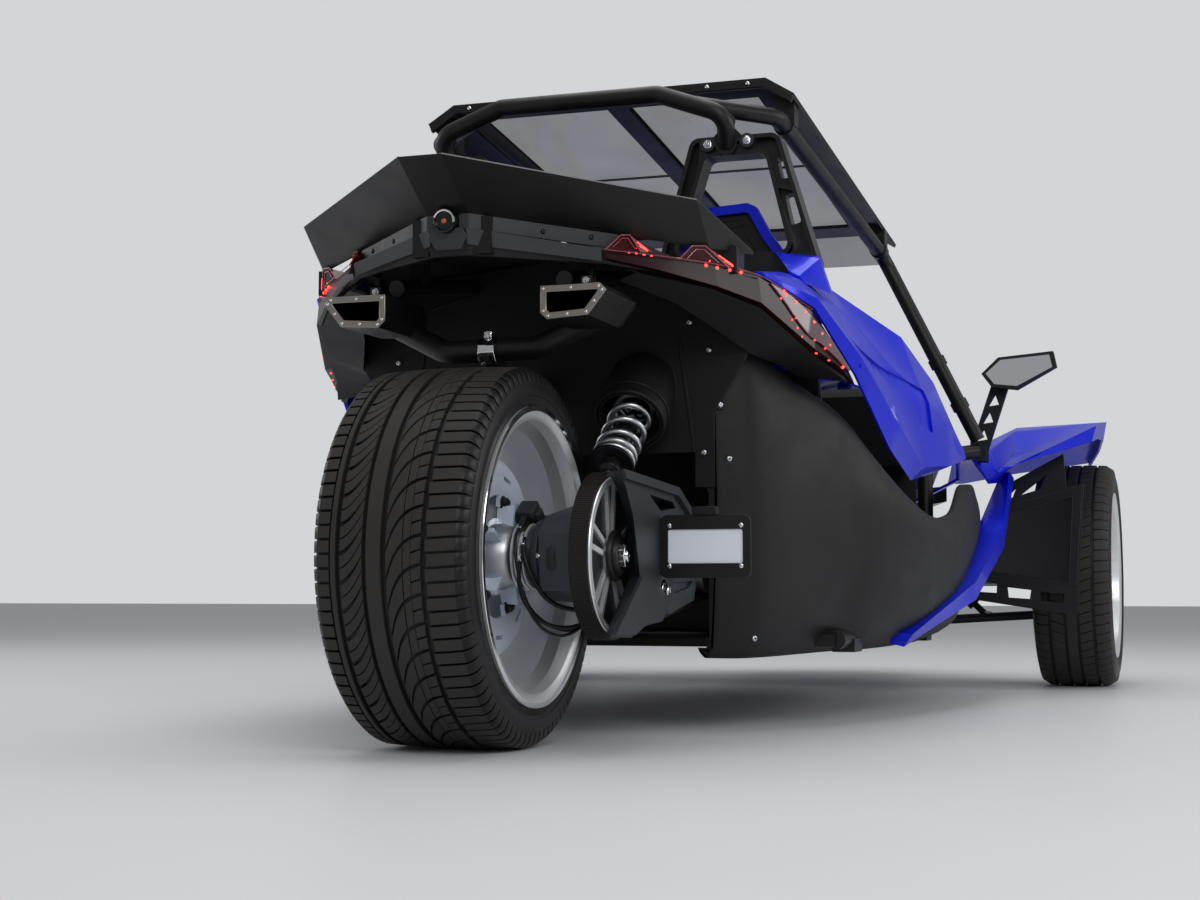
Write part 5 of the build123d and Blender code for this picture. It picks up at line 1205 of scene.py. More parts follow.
DOME_ROWS = [(3.2, -1.5), (3.2, 0.3), (2.4, 1.5), (0.8, 2.1)]
dome = unit_object("lit_dome", [loft([ring_points(r, z, 10) for r, z in DOME_ROWS])])
ROW_AIM, SIDE_AIM, LOW_AIM = (-0.5, -0.7, 0.4), (-0.34, -0.94, 0.08), (-0.3, -0.8, -0.4)
# Each row: the aim of some lit dots on the right lamp, then the place and size of each
DOTS = [
    (ROW_AIM, [(103, -281, 909, 1.0), (117, -291, 909, 1.0), (131, -302, 908, 1.0), (144, -313, 906, 1.0),
               (222, -397, 898, 1.0), (244, -413, 896, 1.0), (268, -431, 895, 1.0), (291, -447, 893, 1.0),
               (110, -284, 926, 0.7), (118, -290, 919, 0.7), (228, -402, 908, 0.8), (246, -414, 903, 0.8)]),
    (SIDE_AIM, [(410, -507, 865, 1.0), (404, -505, 871, 0.8), (442, -520, 854, 0.9), (472, -532, 839, 0.8),
                (500, -544, 821, 0.8), (530, -553, 801, 0.9), (562, -562, 781, 0.8), (424, -516, 816, 0.5),
                (441, -523, 802, 0.6), (455, -529, 786, 0.5), (438, -520, 821, 0.5), (498, -545, 784, 0.6),
                (542, -557, 772, 0.6), (394, -501, 855, 0.6)]),
    (LOW_AIM, [(523, -543, 762, 1.1), (565, -560, 752, 1.1), (615, -578, 741, 1.0), (414, -505, 804, 0.5)]),
]
places = paired([((x, y, z), aim, size) for aim, dots in DOTS for x, y, z, size in dots])
scattered("lamp_dots", dome, places, lit_red)
print("lit dots:", len(places))

# %% [markdown]
# Each exhaust tip is a folded black box with a brushed stainless frame held by small screws, so the
# frame is a flat plate between two outlines. A bolt bracket hangs it from the tail, and a clamp joins
# the pipes.

# %% Exhaust frames, hangers and pipe clamp
TIP = [(154, 834), (268, 834), (280, 821), (245, 777), (167, 772), (154, 785)]
tip_frame = rim_plate(TIP, shrunk(TIP, 12), "x", -24, -19.6)
piece("exhaust_frames", both_sides(tip_frame), brushed_steel, 0.8)
middle_line = shrunk(TIP, 6)
marks = list(middle_line)
for i in (0, 2, 3):
    marks.append(tuple((Vector(middle_line[i]) + Vector(middle_line[(i + 1) % 6])) / 2))
places = paired([((-24, y, z), (-1, 0, 0), 0.62) for y, z in marks])
scattered("exhaust_screws", SCREW, places, bright_chrome)
hanger = [box(58, 62, 203, 223, 834, 866), box(84, 88, 203, 223, 834, 866), box(58, 88, 203, 223, 862, 866)]
piece("exhaust_hangers", both_sides(*hanger), powder_black, 0.6)
places = paired([((58, 213, 842), (-1, 0, 0), 1.1), ((58, 213, 854), (-1, 0, 0), 1.1),
                 ((40, 213, 835), (0, 0, 1), 1.3)])
scattered("hanger_bolts", BOLT, places, bright_chrome)
CLAMP = (117, 738)
clamp = [lathe([(-17, 21), (-17, 25), (-14, 26), (14, 26), (17, 25), (17, 21)], CLAMP, 48),
         box(104, 130, -8, 8, 762, 774)]
piece("pipe_clamp", clamp, bright_chrome, 0.8)
scattered("clamp_bolts", BOLT, [((104, 0, 768), (-1, 0, 0), 1.1), ((110, 8, 716), (0, 1, -1), 1.0)],
          bright_chrome)
print("exhaust screws:", 2 * len(marks), "hanger bolts:", len(places))

# %% [markdown]
# The spring and damper stand in a well behind the seats. A coil spring is one round wire along a helix
# whose ends lie closer, ground flat in reality. The damper body, the perches and the rod are turned
# steel.

# %% Rear spring and damper
LOW, TOP = Vector((190.0, -200.0, 480.0)), Vector((470.0, -200.0, 713.0))
WAY = (TOP - LOW).normalized()
FOOT, REACH = LOW + WAY * 24, (TOP - LOW - WAY * 24).length
COIL_R, WIRE_R, COILS = 38.0, 6.4, 7.0
DAMPER_R, PERCH_R = COIL_R * 0.58, COIL_R + WIRE_R
# Where the coil starts and ends, as shares of the way from the foot to the top
COIL_LOW, COIL_HIGH = 0.17, 0.80
# Where the rings of the spring's well sit along the car
WELL_X = 376.0


def helix(start, aim, radius, low, high, turns, steps=26):
    """A helix along an aim, its pitch a little closer at both ends."""
    ahead, side, up = square_to(aim)
    points = []
    for k in range(int(turns * steps) + 1):
        share = k / (turns * steps)
        eased = share - 0.09 * math.sin(math.tau * share)
        t = math.tau * turns * share
        points.append(tuple(Vector(start) + ahead * (low + (high - low) * eased)
                            + (side * math.cos(t) + up * math.sin(t)) * radius))
    return points


def on_rod(*rows):
    """A turned form on the damper's line: rows of a share of the way up and a radius."""
    return turned_along(FOOT, WAY, [(REACH * share, radius) for share, radius in rows])


coil = helix(FOOT, WAY, COIL_R, REACH * COIL_LOW, REACH * COIL_HIGH, COILS)
spring = piece("rear_spring", [tube(coil, WIRE_R, 10)], spring_steel, smooth=60.0)
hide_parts("rear_shock")
tube_body = on_rod((0.05, DAMPER_R * 0.6), (0.07, DAMPER_R), (0.5, DAMPER_R), (0.52, DAMPER_R * 0.7))
low_perch = on_rod((COIL_LOW - 0.04, COIL_R * 0.7), (COIL_LOW - 0.035, PERCH_R),
                   (COIL_LOW - 0.015, PERCH_R), (COIL_LOW - 0.01, COIL_R * 0.7))
top_perch = on_rod((COIL_HIGH + 0.01, COIL_R * 0.6), (COIL_HIGH + 0.015, PERCH_R),
                   (COIL_HIGH + 0.045, PERCH_R), (COIL_HIGH + 0.07, COIL_R * 0.6))
cap = on_rod((COIL_HIGH + 0.04, COIL_R * 0.62), (0.95, COIL_R * 0.5), (1.0, COIL_R * 0.42))
piece("rear_damper", [tube_body, low_perch, top_perch, cap], powder_black, 0.8)
piece("rear_rod", [on_rod((0.0, DAMPER_R * 0.45), (1.0, DAMPER_R * 0.45))], bright_chrome)
eyes = [turned_along((TOP.x, -218, TOP.z), (0, 1, 0), [(0, 15), (2, 17), (34, 17), (36, 15)]),
        turned_along(LOW, WAY, [(8, 12), (30, 12)])]
piece("rear_spring_eye", eyes, powder_black, 1.0)
_, side, up = square_to(WAY)
well = LOW + WAY * ((WELL_X - LOW.x) / WAY.x)
loops = [tube(circle(well + WAY * reach, side, up, radius, 56), wire, 8, looped=True)
         for reach, radius, wire in ((-21, 69, 3.2), (-21, 62, 2.0), (6, 73.5, 2.4))]
piece("well_rings", loops, moulded_black)
print("spring length in mm:", round(REACH * 0.63))

# %% [markdown]
# The toothed belt runs on a spoked pulley outside the arm. Its back is moulded with fine cross ribs.
# Geometry Nodes could array them along a curve. Here each rib is one small bar placed along the belt's
# line, so that round the pulley and on the straight runs they keep the same spacing.

# %% Pulley details and belt ribs
PULLEY, BELT_BACK_R = (0.0, 345.5), 148.4
SPROCKET, SPROCKET_BACK_R = (620.0, 325.0), 56.4
BELT_Y0, BELT_Y1, RIB_SPACING = -287.0, -253.0, 4.6
# Painted shade: a thin black disc across the pulley's spoke gaps, so that the gaps read dark
piece("pulley_web", [lathe([(-277, 33), (-277, 128.5), (-274.5, 128.5), (-274.5, 33)], PULLEY, 64)],
      blade_black, body="rear_wheel")
beads = [lathe([(-289.4, 134.8), (-289.4, 140.0), (-286, 141.2), (-284, 134.8)], PULLEY, 96),
         lathe([(-289.0, 127.0), (-289.0, 130.6), (-285, 130.6), (-285, 127.0)], PULLEY, 96),
         lathe([(-256, 127.5), (-251.6, 127.5), (-251.6, 141.2), (-254, 141.2)], PULLEY, 96)]
piece("pulley_beads", beads, machined_silver, body="rear_wheel")
collar = [lathe([(-302, 22), (-302, 33), (-297, 36), (-294, 36), (-294, 22)], PULLEY, 48),
          lathe([(-294.5, 20), (-294.5, 44), (-291, 46), (-286, 46), (-286, 20)], PULLEY, 48)]
piece("pulley_collar", collar, blade_black, 0.8, body="rear_wheel")
nut = slab([(x, PULLEY[1] + z) for x, z, _ in ring_points(23, 0, 6)], "y", -312, -300)
stub = lathe([(-316, 1), (-316, 11), (-314, 13), (-305, 13), (-305, 1)], PULLEY, 32)
piece("pulley_nut", [nut, stub], bright_chrome, 1.0, body="rear_wheel")


def belt_line(spacing):
    """Points on the belt's back with their outward directions."""
    dx, dz = SPROCKET[0] - PULLEY[0], SPROCKET[1] - PULLEY[1]
    base, lean = math.atan2(dz, dx), math.acos((BELT_BACK_R - SPROCKET_BACK_R) / math.hypot(dx, dz))
    top, low, marks = base + lean, base - lean, []

    def on_back(wheel, t):
        (x, z), radius = wheel
        return x + radius * math.cos(t), z + radius * math.sin(t)

    def arc(wheel, start, end):
        count = max(1, int(abs(end - start) * wheel[1] / spacing))
        for t in [start + (end - start) * k / count for k in range(count)]:
            marks.append((on_back(wheel, t), t))

    def run(first, second, t):
        a, b = on_back(first, t), on_back(second, t)
        count = int(math.dist(a, b) / spacing)
        for share in [k / count for k in range(count)]:
            marks.append(((a[0] + (b[0] - a[0]) * share, a[1] + (b[1] - a[1]) * share), t))

    rear, front = (PULLEY, BELT_BACK_R), (SPROCKET, SPROCKET_BACK_R)
    arc(rear, top, low + math.tau)
    run(rear, front, low)
    arc(front, low, top)
    run(front, rear, top)
    return marks


RIB_SECTION = [(-0.6, -1.1), (0.9, -0.9), (0.9, 0.9), (-0.6, 1.1)]
shapes = []
for (x, z), t in belt_line(RIB_SPACING):
    ox, oz = math.cos(t), math.sin(t)
    corners = [(x + ox * r - oz * s, z + oz * r + ox * s) for r, s in RIB_SECTION]
    shapes.append(slab(corners, "y", BELT_Y0 + 0.3, BELT_Y1 - 0.3))
piece("belt_ribs", shapes, belt_rubber)
print("belt ribs:", len(shapes))

# %% [markdown]
# The number plate stands on a bracket beside the pulley. The plate is blank, in a black frame with
# rounded corners and four screws, under a small lamp box.

# %% Number plate
PLATE_Y, PLATE_Z = -415.0, 365.0


def rounded_outline(width, height, radius, steps=5):
    """A rectangle with round corners about the origin."""
    line = []
    for sx, sz, start in ((1, 1, 0), (-1, 1, 90), (-1, -1, 180), (1, -1, 270)):
        for k in range(steps + 1):
            t = math.radians(start + 90 * k / steps)
            line.append((sx * (width / 2 - radius) + radius * math.cos(t),
                         sz * (height / 2 - radius) + radius * math.sin(t)))
    return line


def plate_line(width, height, radius):
    return [(PLATE_Y + a, PLATE_Z + b) for a, b in rounded_outline(width, height, radius)]


plate_frame = [rim_plate(plate_line(172, 116, 14), plate_line(142, 62, 4), "x", 141, 146.5),
               slab(plate_line(168, 112, 12), "x", 147.2, 149.8)]
piece("plate_frame", plate_frame, blade_black, 1.2)
piece("blank_plate", [slab(plate_line(150, 72, 5), "x", 144.6, 147.0)], plate_paint, 0.4)
places = [((141, PLATE_Y + a, PLATE_Z + b), (-1, 0, 0), 1.0) for a in (-68, 68) for b in (-36, 38)]
scattered("plate_screws", SCREW, places, bright_chrome)
piece("plate_lamp", [box(134, 156, -438, -392, 422, 438)], moulded_black, 2.0)
# Each row: a bolt's place and size on the guard's right face
GUARD_BOLTS = [((163, -329, 285), 2.2), ((300, -331, 345), 1.2), ((430, -323, 320), 1.2)]
places = [(p, (0, -1, 0), size) for p, size in GUARD_BOLTS]
scattered("guard_bolts", BOLT, places, bright_chrome)
print("guard bolts:", len(places))

# %% [markdown]
# The bulkhead and pods are held by shallow socket screws in round recesses, and two folds stiffen the
# sheet.

# %% Pod and bulkhead screws, folds
CUP_ROWS = [(10.0, -0.6), (10.0, 0.5), (9.2, 1.3), (7.6, 1.1), (6.4, -0.2)]
recess = unit_object("screw_cup", [loft([ring_points(r, z, 20) for r, z in CUP_ROWS])])
# Each row: a screw's place on the right side and its aim
POD_SCREWS = [
    ((440, -341, 766), (-1, 0, 0)), ((445, -363, 655), (-0.9, -0.4, 0)),
    ((456, -378, 547), (-0.91, -0.42, 0)),
    ((486, -420, 189), (-0.57, -0.82, 0)), ((440, -301, 824), (-1, 0, 0)), ((440, -330, 560), (-1, 0, 0)),
    ((620, -462, 184), (-0.3, -0.95, 0)), ((760, -490, 184), (-0.3, -0.95, 0)),
]
places = paired([(p, aim, 1.0) for p, aim in POD_SCREWS])
scattered("screw_cups", recess, places, moulded_black)
scattered("pod_screws", SCREW, [(p, a, 1.3) for p, a, _ in places], spring_steel)
fold = [(-276, 800), (-282, 747), (-292, 673), (-308, 560), (-314, 560), (-299, 673), (-289, 747),
        (-283, 800)]
low_fold = [(-180, 900), (-262, 880), (-262, 874), (-180, 894)]
piece("bulkhead_folds", both_sides(slab(fold, "x", 436.5, 441), slab(low_fold, "x", 436.5, 441)),
      moulded_black, 1.0)
print("pod screws:", len(places))

# %% [markdown]
# The roof is a moulded frame with a thick rear rim, held to the tubes by clamps. The tubes bolt to the
# cast hoops through three-eared brackets. Bright bolts and small screws mark each joint. Dark borders
# frame the panes, and a panel with two raised lines fills each hoop.

# %% Roof rim, clamps and bolts
crown = [(-436, 1373), (-373, 1412.5), (373, 1412.5), (436, 1373)]
rim = loft([[(800, y, z), (812, y, z), (814, y * 0.985, z - 20), (801, y * 0.985, z - 20)]
            for y, z in crown])
piece("roof_rear_rim", [rim], blade_black, 2.0)
rim_screws = paired([((800.4, y, 1403), (-1, 0, 0), 1.0) for y in (60, 150, 240, 333)])
scattered("roof_rim_screws", SCREW, rim_screws, bright_chrome)
BRACKET_BOLTS = [(323, 1287), (366, 1241), (280, 1238)]
places = paired([((659.6, y, z), (-1, 0, 0), 1.5) for y, z in BRACKET_BOLTS])
scattered("bracket_bolts", BOLT, places, bright_chrome)
# The two ends of the left roof tube's line
TUBE_REAR, TUBE_FRONT = (790, 402, 1319), (1890, 430, 1200)
clamps = []
for x in (860, 1860):
    share = (x - TUBE_REAR[0]) / (TUBE_FRONT[0] - TUBE_REAR[0])
    y, z = [a + (b - a) * share for a, b in zip(TUBE_REAR[1:], TUBE_FRONT[1:])]
    clamps.append(turned_along((x - 17, y, z + 2), (1, 0.025, -0.108),
                               [(0, 19.4), (0, 23), (34, 23), (34, 19.4)]))
    clamps.append(box(x - 14, x + 14, y - 5, y + 5, z + 18, z + 34))
piece("roof_clamps", both_sides(*clamps), powder_black, 1.0, slot="frame_black")
PANE_ROWS = [(870, 1406.2), (1940, 1293.4)]
PANE_FALL = 0.1054
borders = [loft([[(x, y0, z), (x, y1, z), (x, y1, z - 2.4), (x, y0, z - 2.4)] for x, z in PANE_ROWS])
           for y0, y1 in ((12, 30), (332, 350))]
for x in (872, 1395, 1920):
    z = PANE_ROWS[0][1] - (x - PANE_ROWS[0][0]) * PANE_FALL
    borders.append(box(x, x + 18, 30, 332, z - 3.4, z - 1.2))
piece("pane_borders", both_sides(*borders), moulded_black, 0.5)
ears = [turned_along((659.7, y, z), (1, 0, 0), [(-1.2, 12), (-1.2, 15.4), (0.6, 16)])
        for y, z in BRACKET_BOLTS]
piece("bracket_faces", both_sides(*ears), cast_black, 0.4)
ARCH = [(170, 866), (182, 980), (222, 1070), (262, 1118), (346, 1123), (364, 1114), (395, 1056), (452, 975),
        (502, 928), (508, 866)]
inside = [(y, max(z, 912)) for y, z in shrunk(ARCH, 21)]
lines = [shrunk(inside, inset) for inset in (10, 24)]
folds = [rim_plate(line, shrunk(line, 3), "x", 750, 752.6) for line in lines]
piece("arch_panels", both_sides(slab(inside, "x", 752, 756.4)), moulded_black, 0.6)
piece("arch_panel_folds", both_sides(*folds), blade_black, 0.5)
print("roof screws and bolts:", len(rim_screws) + len(places))

# %% [markdown]
# The mirrors have silvered glass let into a six-sided shell. The headlamps hold round projector lamps
# behind smoked covers, and a fine slatted screen closes the nose.

# %% Mirror glass, headlamps and screen
GLASS = [(684, 881), (725.5, 918), (858.7, 928), (866.8, 891.9), (770.5, 842.3), (708.4, 849.9)]
piece("mirror_glasses", both_sides(slab(GLASS, "x", 2051.8, 2054.6)), mirror_glass, 0.4)
piece("mirror_rims", both_sides(rim_plate(shrunk(GLASS, -4), shrunk(GLASS, 1), "x", 2049.6, 2053)),
      moulded_black, 0.6)
lamps, cups = [], []
for y, z in ((228, 560), (254, 563)):
    cups.append(turned_along((3322, y, z), (1, 0, 0), [(0, 11), (3.4, 11.6), (4.6, 10.4), (2.4, 8.6)]))
    lamps.append(turned_along((3322, y, z), (1, 0, 0), [(0, 8.4), (3, 8), (5.4, 5.4), (6.4, 1.6)]))
piece("headlamp_cups", both_sides(*cups), bright_chrome)
piece("headlamp_lenses", both_sides(*lamps), lamp_clear)
dress("headlights", smoke)
brow = [(3036, 430, 626.5), (3326, 271, 581.5)]
piece("headlamp_brows", both_sides(tube(brow, 3.2, 10)), bright_chrome)
slats = [box(3372, 3380, -148 + 12.3 * k, -144.5 + 12.3 * k, 278, 498) for k in range(25)]
slats += [box(3366, 3372, -150, 150, 300 + 38 * k, 303 + 38 * k) for k in range(6)]
piece("nose_screen", slats, blade_black)
print("screen bars:", len(slats))

# %% [markdown]
# The cockpit is open to the weather: moulded shells with padded vinyl seats, a thick steering wheel,
# two round gauges, a small screen beside them, studded pedals and a console with a lever. Fittings
# without fabric come first.

# %% Steering wheel grip, gauges, screen and pedals
HUB = Vector((1500.0, 300.0, 855.0))
RAKE = math.radians(24)
COLUMN = Vector((math.cos(RAKE), 0, -math.sin(RAKE)))
ACROSS, UPWARD = Vector((0, 1, 0)), Vector((math.sin(RAKE), 0, math.cos(RAKE)))


def on_wheel(radius, degrees, ahead=0.0):
    t = math.radians(degrees)
    return tuple(HUB + ACROSS * (radius * math.cos(t)) + UPWARD * (radius * math.sin(t)) + COLUMN * ahead)


grip = tube([on_wheel(170, 5 * k) for k in range(72)], 15.8, 14, looped=True)
pads = [tube([on_wheel(170, a + k * 5) for k in range(9)], 17.2, 12) for a in (10, 130)]
piece("steering_grip", [grip] + pads, seat_vinyl, body="steering_wheel")
boss = [turned_along(HUB, COLUMN, [(-30, 16), (-28, 38), (-22, 44), (6, 46), (8, 30)])]
piece("steering_boss", boss, moulded_black, 1.0, body="steering_wheel")
keys = [turned_along(on_wheel(74, a, -11), COLUMN, [(-6, 6), (-5, 9), (2, 10)], 16)
        for a in (168, 180, 192, -12, 0, 12)]
piece("steering_keys", keys, blade_black, body="steering_wheel")
binnacle = slab([(1706, 806), (1690, 868), (1712, 884), (1800, 866), (1840, 822)], "y", 196, 404)
screen_box = slab([(1700, 806), (1692, 930), (1704, 934), (1722, 820)], "y", -96, 96)
piece("gauge_pods", [binnacle, screen_box], moulded_black, 5.0)
DIAL_AIM, DIAL_UP = Vector((-1, 0, 0.26)), Vector((0.25, 0, 0.968))
# Degrees up from the car's left: of the first tick, then from tick to tick, and of the needle
FIRST_TICK, TICK_STEP, NEEDLE_AT = 225, 11.25, 205


def dial_bar(middle, degrees, start, end, lift, radius, sides):
    """A thin bar over a dial, from one distance from its middle to another."""
    t = math.radians(degrees)
    way = ACROSS * math.cos(t) + DIAL_UP * math.sin(t)
    spot = middle + DIAL_AIM.normalized() * lift
    return tube([tuple(spot + way * start), tuple(spot + way * end)], radius, sides)


rings, faces, needles, ticks = [], [], [], []
for y in (248, 352):
    middle = Vector((1697, y, 845))
    rings.append(turned_along(middle, DIAL_AIM, [(-4, 38), (-4, 44), (3, 44), (5, 41), (1, 38)]))
    faces.append(turned_along(middle, DIAL_AIM, [(-4, 38.4), (-0.5, 38.4)]))
    for k in range(25):
        long = 7 if k % 3 == 0 else 4
        ticks.append(dial_bar(middle, FIRST_TICK - TICK_STEP * k, 36, 36 - long, 0.4, 0.7, 4))
    needles.append(dial_bar(middle, NEEDLE_AT, -6, 30, 2, 1.1, 6))
piece("gauge_rings", rings, bright_chrome)
piece("gauge_faces", faces, gauge_glass)
piece("gauge_ticks", ticks, white_print)
piece("gauge_needles", needles, needle_red)
piece("screen_glass", [slab([(1698.6, 826), (1690.9, 920), (1693, 920), (1700, 826)], "y", -84, 84)],
      gauge_glass, 0.8)
PEDALS_Y = (214, 300, 372)
pedals = []
for y in PEDALS_Y:
    low, top = [[(x, y + dy, z) for x, dy in ((x0, -half), (x0, half), (x0 + 8, half), (x0 + 8, -half))]
                for x0, z, half in ((1812, 262, 24), (1826, 340, 26))]
    pedals.append(loft([low, top]))
    pedals.append(tube([(1830, y, 330), (1856, y, 420), (1862, y, 500)], 6, 10))
piece("pedals", pedals, cast_alloy, 1.2)
places = [((1813 + 0.18 * dz, y + dy, 270 + dz), (-1, 0, 0.18), 0.7)
          for y in PEDALS_Y for dy in (-14, 0, 14) for dz in (0, 20, 40, 60)]
scattered("pedal_studs", SCREW, places, blade_black)
console = [slab([(800, 400), (800, 440), (1000, 452), (1420, 452), (1640, 520), (1720, 640), (1748, 640),
                 (1748, 400)], "y", -72, 72)]
piece("console", console, moulded_black, 8.0)
knobs = [turned_along((1560 + 50 * k, 0, 498 + 22 * k), (-0.4, 0, 0.92),
                      [(-4, 17), (10, 17), (14, 15), (16, 9)], 24)
         for k in range(3)]
lever = [turned_along((1260, 0, 450), (-0.1, 0, 1),
                      [(0, 12), (70, 9), (74, 20), (92, 24), (112, 18), (118, 8)], 24)]
piece("console_knobs", knobs + lever, blade_black, 0.6)
lids = [rim_plate([(1020, -52), (1200, -52), (1200, 52), (1020, 52)],
                  [(1028, -44), (1192, -44), (1192, 44), (1028, 44)], "z", 451, 456)]
piece("console_tray", lids, blade_black, 1.0)
print("gauge ticks:", len(ticks))

# %% [markdown]
# Each seat is a hard shell with sewn vinyl pads. A pad is a bag of foam, so its sides bulge between the
# seams. Each channel is remeshed to even faces and blown up a little by cloth pressure, and how far a
# point may move is capped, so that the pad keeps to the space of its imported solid. The right seat
# mirrors the left.

# %% Padded seats
CHANNEL_Y0, CHANNEL_Y1 = 184.0, 416.0
FACE_SIZE, QUICK_FACE_SIZE, PUSH_CAP = 0.009, 0.012, 0.007
PRESSURE, STIFFNESS, CLOTH_STEPS = 4.0, 12.0, 20
SEAM_R = 2.2
BASE_TOP = [(908, 328), (1005, 337), (1102, 346), (1199, 355), (1300, 364)]
BACK_FRONT = [(903, 420), (889, 520), (876, 620), (863, 720), (850, 812), (838, 905)]


def channel_blocks():
    shapes = []
    for (x0, z0), (x1, z1) in zip(BASE_TOP, BASE_TOP[1:]):
        line = [(x0 + 3, z0 - 62), (x1 - 3, z1 - 62), (x1 - 3, z1 - 5), (x0 + 3, z0 - 5)]
        shapes.append(slab(line, "y", CHANNEL_Y0, CHANNEL_Y1))
    for (x0, z0), (x1, z1) in zip(BACK_FRONT, BACK_FRONT[1:]):
        line = [(x0 - 5, z0 + 3), (x1 - 5, z1 - 3), (x1 - 46, z1 - 3), (x0 - 46, z0 + 3)]
        shapes.append(slab(line, "y", CHANNEL_Y0, CHANNEL_Y1))
    low = [(905, 306), (1276, 342), (1284, 366), (1248, 420), (962, 424), (905, 396)]
    back = [(862, 440), (906, 412), (935, 472), (902, 620), (858, 760), (848, 895), (806, 895), (812, 700)]
    for line in (low, back):
        for y0, y1 in ((122, 174), (426, 478)):
            shapes.append(slab(line, "y", y0, y1))
    head = [(190, 912), (212, 1012), (244, 1080), (356, 1080), (388, 1012), (410, 912)]
    shapes.append(slab(head, "x", 776, 816))
    return shapes


def remeshed(shapes, voxel):
    """Each shape as an even closed mesh, all in one."""
    whole = bmesh.new()
    for shape in shapes:
        source = placed("pad_source", shell_mesh("pad_source", [shape]))
        grid = source.modifiers.new("even", "REMESH")
        grid.mode, grid.voxel_size = "VOXEL", voxel
        ease = source.modifiers.new("ease", "SMOOTH")
        ease.factor, ease.iterations = 0.5, 4
        made = result_of(source)
        bpy.data.objects.remove(source)
        whole.from_mesh(made)
        bpy.data.meshes.remove(made)
    return mesh_from(whole, "pads")


def stuffed(data, cap):
    """Cloth pressure on a closed mesh, each point moved no further than the cap in metres."""
    before = [v.co.copy() for v in data.vertices]
    source = placed("stuffing", data)
    cloth = source.modifiers.new("stuffing", "CLOTH")
    settings = cloth.settings
    settings.use_pressure, settings.uniform_pressure_force = True, PRESSURE
    settings.effector_weights.gravity = 0.0
    settings.quality, settings.mass = 5, 0.3
    settings.tension_stiffness = settings.compression_stiffness = STIFFNESS
    for step in range(1, CLOTH_STEPS + 1):
        bpy.context.scene.frame_set(step)
    swollen = result_of(source)
    source.modifiers.remove(cloth)
    bpy.data.objects.remove(source)
    bpy.context.scene.frame_set(1)
    for vertex, start in zip(swollen.vertices, before):
        move = vertex.co - start
        if move.length > cap:
            vertex.co = start + move.normalized() * cap
    return swollen


pads = remeshed(channel_blocks(), FACE_SIZE)
pads = stuffed(pads, PUSH_CAP)
shell = [slab([(800, 209), (1288, 209), (1322, 322), (1302, 300), (920, 262), (890, 400),
               (832, 860), (822, 905), (774, 905), (777, 500)], "y", 146, 454),
         slab([(182, 900), (205, 1018), (240, 1090), (360, 1090), (395, 1018), (418, 900)], "x", 769, 784)]
for side, way in SIDES:
    data = pads.copy()
    if way < 0:
        data.transform(Matrix.Scale(-1, 4, (0, 1, 0)))
        data.flip_normals()
    cover = fitted("seat_pads_" + side, data, seat_vinyl, smooth=180.0)
    finer = cover.modifiers.new("finer", "SUBSURF")
    finer.levels = finer.render_levels = 1
    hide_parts("seat_" + side)
    piece("seat_shell_" + side, on_side(shell, way), moulded_black, 6.0)
# Each pair: a place along a seam, across the seat, and how far the seam sinks there
SEAM_MARKS = [(176, 4), (190, 0), (410, 0), (424, 4)]
piping = []
for way in (1, -1):
    for x, z in BASE_TOP[1:-1]:
        piping.append(tube([(x, way * y, z - 2 - sunk) for y, sunk in SEAM_MARKS], SEAM_R, 8))
    for x, z in BACK_FRONT[1:-1]:
        piping.append(tube([(x - 4 - sunk, way * y, z) for y, sunk in SEAM_MARKS], SEAM_R, 8))
piece("seat_piping", piping, web_black)
print("pad faces:", len(pads.polygons), "with stuffing")

# %% [markdown]
# A lap and shoulder belt lies over each seat. Webbing is flat and stiff across its width, so it is
# drawn directly: a strip along chosen points, with a buckle and a guide of black plastic.

# %% Seat belts
BELT_RUN = [(812, 424, 985), (842, 404, 935), (868, 372, 830), (895, 330, 700), (918, 280, 560),
            (948, 222, 450), (985, 176, 404), (1000, 140, 380)]
LAP_RUN = [(1000, 140, 380), (1020, 180, 398), (1030, 240, 380), (1030, 320, 378), (1018, 400, 396),
           (990, 448, 432), (950, 484, 420), (930, 490, 330)]


def webbing(points, width, thick):
    """A flat strip along a run, its width square to the run and nearly level."""
    path = through(points, 5)
    rings = []
    for i, point in enumerate(path):
        ahead = (Vector(path[min(i + 1, len(path) - 1)]) - Vector(path[max(i - 1, 0)])).normalized()
        across = ahead.cross(Vector((-0.9, 0, -0.5)).normalized()).normalized()
        out = across.cross(ahead)
        middle = Vector(point) - out * 3 if out.x > 0 else Vector(point) + out * 3
        rings.append([tuple(middle + across * (a * width / 2) + out * (b * thick / 2))
                      for a, b in ((-1, -1), (1, -1), (1, 1), (-1, 1))])
    return loft(rings)


WEB_WIDTH, WEB_THICK = 46, 1.6
belts = [webbing([(x + 10, y, z) for x, y, z in BELT_RUN], WEB_WIDTH, WEB_THICK),
         webbing([(x, y, z + 12) for x, y, z in LAP_RUN], WEB_WIDTH, WEB_THICK)]
piece("seat_belts", both_sides(*belts), web_black)
buckle = [box(985, 1020, 112, 150, 340, 415)]
guide = [box(800, 822, 396, 452, 976, 1000)]
piece("belt_buckles", both_sides(*buckle, *guide), blade_black, 3.0)
print("belts:", 2 * len(belts))
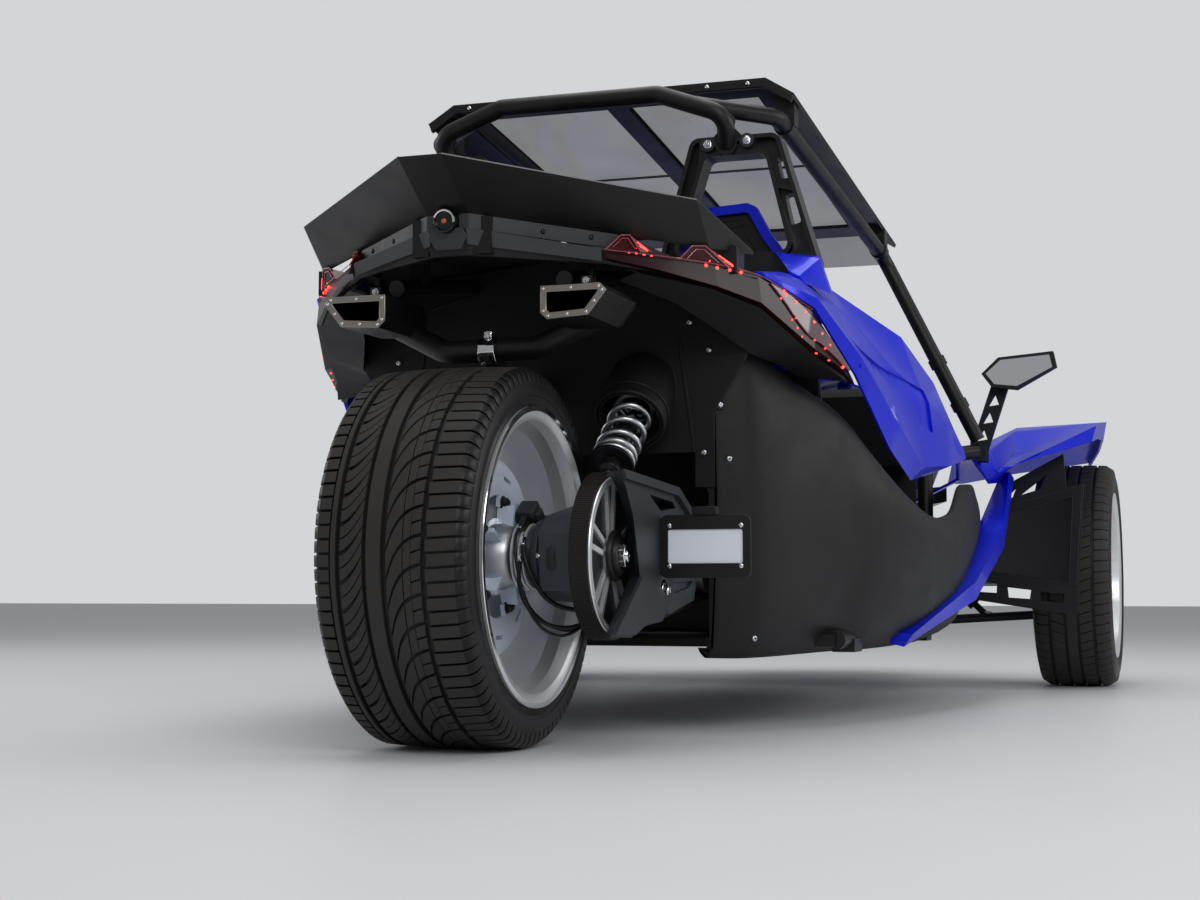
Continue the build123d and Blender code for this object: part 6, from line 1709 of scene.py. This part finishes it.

# %% [markdown]
# The flat guard behind each front wheel is one folded black sheet with a sunken field. Its outer edge
# and the edge of the field are rolled over. Each rolled edge is a thin round bar that runs round the
# sheet's corners, half sunk in its rear face, in a grey lighter than the sheet: a painted highlight line.

# %% Rolled edges of the wheel guards
GUARD_FACE = 2262
GUARD_EDGE = [(609, 332), (710, 523), (922, 579), (902, 296)]
GUARD_FIELD = [(640, 342), (724, 502), (896, 548), (882, 310)]
edges = [tube([(GUARD_FACE, y, z) for y, z in line], 1.7, 8, looped=True)
         for line in (GUARD_EDGE, GUARD_FIELD)]
# Painted highlight: the bars wear the lighter grey of the wrinkle-coated strip
piece("guard_edges", both_sides(*edges), strip_grey)
print("guard edges:", 2 * len(edges))

# %% [markdown]
# Behind each front wheel's spokes sit a disc and a caliper that steers with the knuckle. The front
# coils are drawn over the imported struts, and each wheel gets its nuts and a small cap.

# %% Front brakes, coils and wheel nuts
STRUT_FOOT, STRUT_TOP = Vector((2667, 600, 209)), Vector((2667, 265, 530))
STRUT = STRUT_TOP - STRUT_FOOT
caliper = [slab([(2570, 296), (2532, 300), (2524, 352), (2536, 392), (2576, 380), (2584, 330)],
                "y", 872, 907),
           slab([(2566, 306), (2540, 312), (2534, 350), (2542, 380), (2570, 370)], "y", 905, 912)]
cap = [lathe([(955, 1), (955, 24), (962, 27), (966, 25), (968, 1)], FRONT_POINT, 40)]
FRONT_COIL_R, FRONT_WIRE_R, FRONT_COILS = 35.0, 5.4, 7
turns = helix(STRUT_FOOT, STRUT, FRONT_COIL_R, STRUT.length * 0.19, STRUT.length * 0.71, FRONT_COILS)
coil = [tube(turns, FRONT_WIRE_R, 10)]
for side, way in SIDES:
    piece("front_caliper_" + side, on_side(caliper, way), cast_black, 3.0, body="knuckle_" + side)
    places = round_places(5, 40, way * 956.5, (0, way, 0), 2.0, FRONT_POINT)
    scattered("front_nuts_" + side, BOLT, places, bright_chrome, "front_wheel_" + side)
    piece("front_cap_" + side, on_side(cap, way), blade_black, 0.5, body="front_wheel_" + side)
    piece("front_coil_" + side, on_side(coil, way), spring_steel, smooth=60.0)
print("wheel nuts in front:", 2 * len(places))
